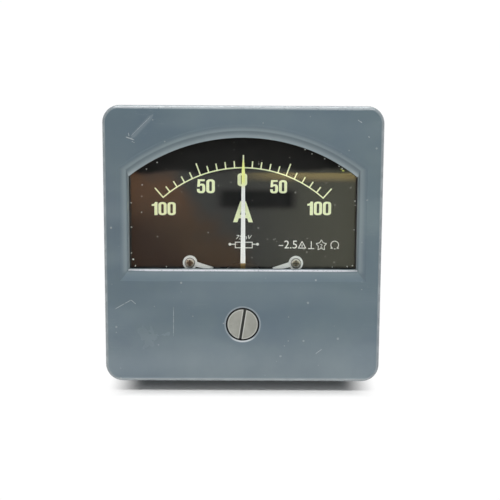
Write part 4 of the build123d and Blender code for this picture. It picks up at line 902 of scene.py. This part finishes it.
def hexagon(mesh, x, z, front, rear, half, bore):
    """Adds a six-sided nut or head with rounded-off corners, in millimetres; half is half its width"""
    rings = []
    count = 72
    worn, slant, chamfer = half * 0.985, 0.58, 0.35
    angles = [2 * math.pi * step / count for step in range(count)]
    reaches = [half / math.cos((angle + math.pi / 6) % (math.pi / 3) - math.pi / 6) for angle in angles]

    def add_ring(levels, radii):
        """Adds one ring of corners from a level and a radius for each angle"""
        rings.append([
            mesh.verts.new(((x + radius * math.sin(angle)) * MM, y * MM, (z + radius * math.cos(angle)) * MM))
            for angle, y, radius in zip(angles, levels, radii)
        ])

    for y, wide, turned_back in ((front, False, 0), (front, True, 1), (rear, True, -1), (rear, False, 0)):
        levels = [y + turned_back * (reach - worn) * slant for reach in reaches]
        add_ring(levels, reaches if wide else [worn] * count)
    if bore:
        mouth = bore + chamfer
        for y, radius in ((rear, mouth), (rear - chamfer, bore), (front + chamfer, bore), (front, mouth)):
            add_ring([y] * count, [radius] * count)
        rings.append(rings[0])
    for one, other in zip(rings, rings[1:]):
        for step in range(count):
            after = (step + 1) % count
            mesh.faces.new((one[step], one[after], other[after], other[step]))
    if not bore:
        mesh.faces.new(rings[0])
        mesh.faces.new(rings[-1])


def shaded_piece(name, shape, finish, smooth=30.0):
    """Closes a bmesh into a piece of the case, smooth where its faces meet at small angles"""
    bmesh.ops.remove_doubles(shape, verts=shape.verts, dist=0.000002)
    bmesh.ops.recalc_face_normals(shape, faces=shape.faces)
    for face in shape.faces:
        face.smooth = True
    for edge in shape.edges:
        if len(edge.link_faces) == 2 and edge.calc_face_angle() > math.radians(smooth):
            edge.smooth = False
    mesh = bpy.data.meshes.new(name)
    shape.to_mesh(mesh)
    shape.free()
    return finished_piece(name, mesh, finish, "case")


stud_box = [[value / MM for value in corner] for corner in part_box("mounting_studs")]
stud_head_r, stud_shank_r, stud_r, stud_root, stud_tip_r = 3.0, 1.7, 1.5, 1.22, 1.1
stud_head, stud_thread_front, stud_pitch = 1.2, 0.1, 0.5
stud_at = stud_box[1][0] - stud_head_r
head_front, stud_end = stud_box[0][1], stud_box[1][1]
studs = bmesh.new()
for x in (-stud_at, stud_at):
    for z in (-stud_at, stud_at):
        turned(studs, x, z, [
            (head_front, 0.0), (head_front, stud_head_r - 0.2), (head_front + 0.2, stud_head_r),
            (head_front + stud_head, stud_head_r), (head_front + stud_head, stud_shank_r),
            (0.0, stud_shank_r), (stud_thread_front, stud_root), (stud_end - 0.12, stud_root),
            (stud_end, stud_tip_r), (stud_end, 0.0),
        ])
        thread(studs, x, z, stud_thread_front, stud_end + 0.1, stud_r, stud_root, stud_pitch)
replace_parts(shaded_piece("mounting_studs_threaded", studs, plated_steel), "mounting_studs")

post_box = [[value / MM for value in corner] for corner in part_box("terminal_studs")]
terminal_at, terminal_r, terminal_root, terminal_tip_r = 14.0, 2.5, 2.05, 1.9
post_front, post_end = post_box[0][1], post_box[1][1]
post_head, post_half, thread_front, post_pitch = 3.0, 4.0, 46.2, 0.8
nut_fronts, nut_thick, nut_half = (47.0, 51.2), 3.2, 4.0
posts = bmesh.new()
nuts = bmesh.new()
for x in (-terminal_at, terminal_at):
    hexagon(posts, x, 0.0, post_front, post_front + post_head, post_half, 0.0)
    turned(posts, x, 0.0, [
        (post_front + post_head, terminal_r), (thread_front - 0.2, terminal_r),
        (thread_front, terminal_root), (post_end - 0.15, terminal_root), (post_end, terminal_tip_r),
        (post_end, 0.0),
    ])
    thread(posts, x, 0.0, thread_front, post_end + 0.2, terminal_r, terminal_root, post_pitch, steps=32)
    for front in nut_fronts:
        hexagon(nuts, x, 0.0, front, front + nut_thick, nut_half, terminal_r - 0.02)
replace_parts(shaded_piece("terminal_posts", posts, brass), "terminal_studs")
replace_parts(shaded_piece("terminal_nuts_cut", nuts, brass, smooth=20.0), "terminal_nuts")

# Moulded plus and minus beside the terminals
marks = bmesh.new()
marks_y, marks_z, marks_thick = 44.95, -10.2, 0.7
for x, width, height in ((terminal_at, 3.6, 0.8), (terminal_at, 0.8, 3.6), (-terminal_at, 3.6, 0.8)):
    size = Matrix.Diagonal((width * MM, marks_thick * MM, height * MM, 1.0))
    centre = Matrix.Translation((x * MM, marks_y * MM, marks_z * MM))
    bmesh.ops.create_cube(marks, size=1.0, matrix=centre @ size)
shaded_piece("polarity_marks", marks, housing_plastic)

# Crumbs of plastic and dust along the window's edge, in millimetres on X and Z, with their reach
crumb_places = [
    (-29.3, 17.2, 0.2), (-29.5, 9.3, 0.16), (-32.5, 4.9, 0.22), (-32.6, -2.7, 0.2), (-32.5, 12.0, 0.24),
    (-24.9, 23.7, 0.22), (-28.0, 21.8, 0.18), (17.8, 27.6, 0.2), (23.5, 25.0, 0.24), (19.8, 26.4, 0.15),
    (28.6, 22.2, 0.26), (27.7, 22.9, 0.18), (32.5, 12.8, 0.3), (32.6, 11.6, 0.2), (32.4, 4.4, 0.16),
    (-32.1, -4.6, 0.32), (-31.5, -6.5, 0.26), (30.6, -6.4, 0.24), (32.1, -6.2, 0.2), (-12.2, -6.7, 0.18),
    (9.4, 1.6, 0.12), (-10.2, 3.4, 0.14), (26.2, -6.6, 0.16), (-22.4, -6.7, 0.15), (14.6, -6.75, 0.14),
]
glass_front_level = -10.42


def flake(mesh, x, z, wide, high, subdivisions, spin=0.0):
    """Adds a thin flake on the glass, in millimetres; returns its points"""
    size = Matrix.Diagonal((wide * MM, 0.09 * MM, high * MM, 1.0))
    centre = Matrix.Translation((x * MM, glass_front_level * MM, z * MM))
    stand = centre @ Matrix.Rotation(spin, 4, "Y") @ size
    return bmesh.ops.create_icosphere(mesh, subdivisions=subdivisions, radius=1.0, matrix=stand)["verts"]


crumbs = bmesh.new()
for number, (x, z, reach) in enumerate(crumb_places):
    points = flake(crumbs, x, z, reach, reach * (0.45 + 0.1 * (number % 4)), 1, number * 1.7)
    for index, vertex in enumerate(points):
        vertex.co.x += 0.05 * MM * math.sin(index * 2.1 + number)
        vertex.co.z += 0.05 * MM * math.cos(index * 3.3 + number)
crumb_finish = plastic_finish("crumb_plastic", (0.62, 0.65, 0.6), 0.6, grain=5000.0)
shaded_piece("window_crumbs", crumbs, crumb_finish)
fleck = bmesh.new()
for x, z, reach in ((28.9, 21.6, 0.34), (28.3, 22.0, 0.2)):
    flake(fleck, x, z, reach, reach * 0.6, 2)
fleck_finish = plastic_finish("fleck_paint", (0.5, 0.56, 0.1), 0.5, grain=5000.0)
shaded_piece("window_fleck", fleck, fleck_finish)


# Floor, surroundings, light and camera

# The meter leans back on the lower rear edges of its cover and its barrel
lean = math.radians(10.49)
foot_z = -40.0


def stage_plane(name, centre, across, up, width, height, finish):
    """Flat stage piece round a centre, spanned by two directions"""
    sheet = bmesh.new()
    normal = across.cross(up).normalized()
    place_at = Matrix((
        (across.x, up.x, normal.x, centre.x), (across.y, up.y, normal.y, centre.y),
        (across.z, up.z, normal.z, centre.z), (0, 0, 0, 1),
    ))
    size = Matrix.Diagonal((width / 2, height / 2, 1.0, 1.0))
    bmesh.ops.create_grid(sheet, x_segments=1, y_segments=1, size=1.0, matrix=place_at @ size)
    mesh = bpy.data.meshes.new(name)
    sheet.to_mesh(mesh)
    sheet.free()
    mesh.materials.append(finish)
    piece = placed(name, mesh)
    return piece


def seen_ray(tree):
    """1 for rays from the camera, a mirror or glass, 0 for light that only brightens other things"""
    rays = place(tree, "LightPath").outputs
    mirrored = larger(tree, rays["Is Glossy Ray"], rays["Is Transmission Ray"])
    return larger(tree, rays["Is Camera Ray"], mirrored)


def floor_finish():
    """Pale floor that reads white away from the meter and keeps its shadow"""
    finish, tree, shader = new_finish("floor_white")
    feed(tree, shader, Base_Color=(0.93, 0.93, 0.925), Roughness=0.9, Specular_IOR_Level=0.1)
    seen = seen_ray(tree)
    parts = parts_of(tree)
    beside = fade_mm(tree, unsigned(tree, parts["X"]), 29.0, 41.0)
    before = fade_mm(tree, parts["Y"], -15.5, -19.5)
    behind = fade_mm(tree, parts["Y"], 50.0, 66.0)
    outside = larger(tree, beside, larger(tree, before, behind))
    glow = place(tree, "Emission", {"Color": (1, 1, 1, 1), "Strength": 1.0})
    share = times(tree, seen, outside)
    mixed = place(tree, "MixShader", {0: share, 1: shader.outputs["BSDF"], 2: glow.outputs["Emission"]})
    lift = place(tree, "Emission", {"Color": (1, 1, 1, 1), "Strength": times(tree, seen, 0.02)})
    total = place(tree, "AddShader", {0: mixed.outputs["Shader"], 1: lift.outputs["Emission"]})
    tree.links.new(total.outputs["Shader"], tree.nodes["Material Output"].inputs["Surface"])
    return finish


def room_finish():
    """Dim brown and olive room in front, as the glass shows it"""
    finish, tree, shader = new_finish("room_front")
    parts = parts_of(tree)
    waves = noise_at(tree, 22.0, 2.0)
    bend = times(tree, sums(tree, "SUBTRACT", waves, 0.5), 0.05)
    across = sums(tree, "ADD", parts["X"], bend)
    height = sums(tree, "ADD", parts["Z"], bend)
    # The border between both halves leans from the upper left to the lower middle
    border = sums(tree, "ADD", across, times(tree, height, 0.9))
    side = fade(tree, border, -0.125, -0.075)
    brown = blend(tree, fade(tree, border, -0.2, -0.12), (0.36, 0.2, 0.13), (0.6, 0.38, 0.22))
    olive = blend(tree, fade(tree, parts["X"], -0.02, 0.12), (0.42, 0.43, 0.4), (0.78, 0.78, 0.58))
    warm = times(tree, fade(tree, parts["Z"], -0.085, -0.03), 0.55)
    brown = blend(tree, warm, brown, (1.3, 0.66, 0.36))
    tone = blend(tree, side, brown, olive)
    band = times(
        tree, fade(tree, parts["Z"], -0.0255, -0.0165), fade(tree, parts["Z"], -0.0125, -0.0148)
    )
    band = times(tree, band, fade(tree, parts["X"], -0.02, 0.05))
    rise = fade(tree, sums(tree, "MULTIPLY_ADD", bend, 0.3, parts["Z"]), -0.016, -0.009)
    tone = blend(tree, rise, tone, (0.03, 0.028, 0.026))
    tone = coat(tree, tone, band, 0.8, (2.9, 2.3, 1.0))
    bar = times(
        tree, fade(tree, unsigned(tree, sums(tree, "SUBTRACT", parts["X"], 0.014)), 0.05, 0.034),
        fade(tree, unsigned(tree, sums(tree, "SUBTRACT", parts["Z"], -0.043)), 0.015, 0.0055),
    )
    tone = blend(tree, bar, tone, (0.012, 0.012, 0.014))
    glow = place(tree, "Emission", {"Color": tone, "Strength": 1.0})
    tree.links.new(glow.outputs["Emission"], tree.nodes["Material Output"].inputs["Surface"])
    return finish


slope = Vector((0.0, math.cos(lean), math.sin(lean)))
floor = stage_plane(
    "floor", Vector((0, 0, foot_z)) * MM, Vector((1, 0, 0)), slope, width=6.0, height=6.0,
    finish=floor_finish(),
)
room = stage_plane(
    "room_front", Vector((0, -750, 120)) * MM, Vector((-1, 0, 0)), Vector((0, 0, 1)), width=1.3, height=0.59,
    finish=room_finish(),
)
room.visible_camera = False
room.visible_diffuse = False
room.visible_shadow = False

world = bpy.data.worlds.new("studio")
bpy.context.scene.world = world
world.use_nodes = True
sky = world.node_tree
backdrop = sky.nodes["Background"]
plug(sky, backdrop.inputs["Strength"], fade(sky, seen_ray(sky), 0.0, 1.0, 0.22, 1.0))
plug(sky, backdrop.inputs["Color"], (1.0, 1.0, 1.0))


def softbox(name, spot_at, aim_at, width, height, energy, glossy=True):
    """Rectangular lamp that points from one place to another"""
    lamp = bpy.data.lights.new(name, "AREA")
    lamp.shape = "RECTANGLE"
    lamp.size = width
    lamp.size_y = height
    lamp.energy = energy
    holder = placed(name, lamp)
    direction = Vector(aim_at) - Vector(spot_at)
    holder.rotation_euler = direction.to_track_quat("-Z", "Y").to_euler()
    holder.location = spot_at
    holder.visible_glossy = glossy
    return holder


softbox("overhead_softbox", (0.0, -0.05, 1.5), (0, 0, 0), width=1.3, height=0.7, energy=25.0)
fill = softbox(
    "front_fill", (0.05, -1.2, 0.28), (0, 0, 0), width=0.9, height=0.7, energy=8.4, glossy=False
)
kept_dark = bpy.data.collections.new("kept_dark")
kept_dark.objects.link(floor)
fill.light_linking.receiver_collection = kept_dark
kept_dark.collection_objects[0].light_linking.link_state = "EXCLUDE"

camera_data = bpy.data.cameras.new("photo_view")
camera_data.lens = 64.8
camera_data.sensor_width = 36.0
camera = placed("photo_view", camera_data)
camera_at = Vector((0.55, -271.39, 33.07)) * MM
yaw, pitch, roll = (math.radians(angle) for angle in (0.331, 7.581, 0.306))
ahead = Vector((math.sin(yaw) * math.cos(pitch), math.cos(yaw) * math.cos(pitch), -math.sin(pitch)))
level_right = Vector((math.cos(yaw), -math.sin(yaw), 0.0))
level_up = level_right.cross(ahead)
right = level_right * math.cos(roll) + level_up * math.sin(roll)
up = level_up * math.cos(roll) - level_right * math.sin(roll)
turn = Matrix((right, up, -ahead)).transposed()
camera.matrix_world = Matrix.Translation(camera_at) @ turn.to_4x4()
bpy.context.scene.camera = camera
bpy.context.scene.view_settings.view_transform = "Standard"
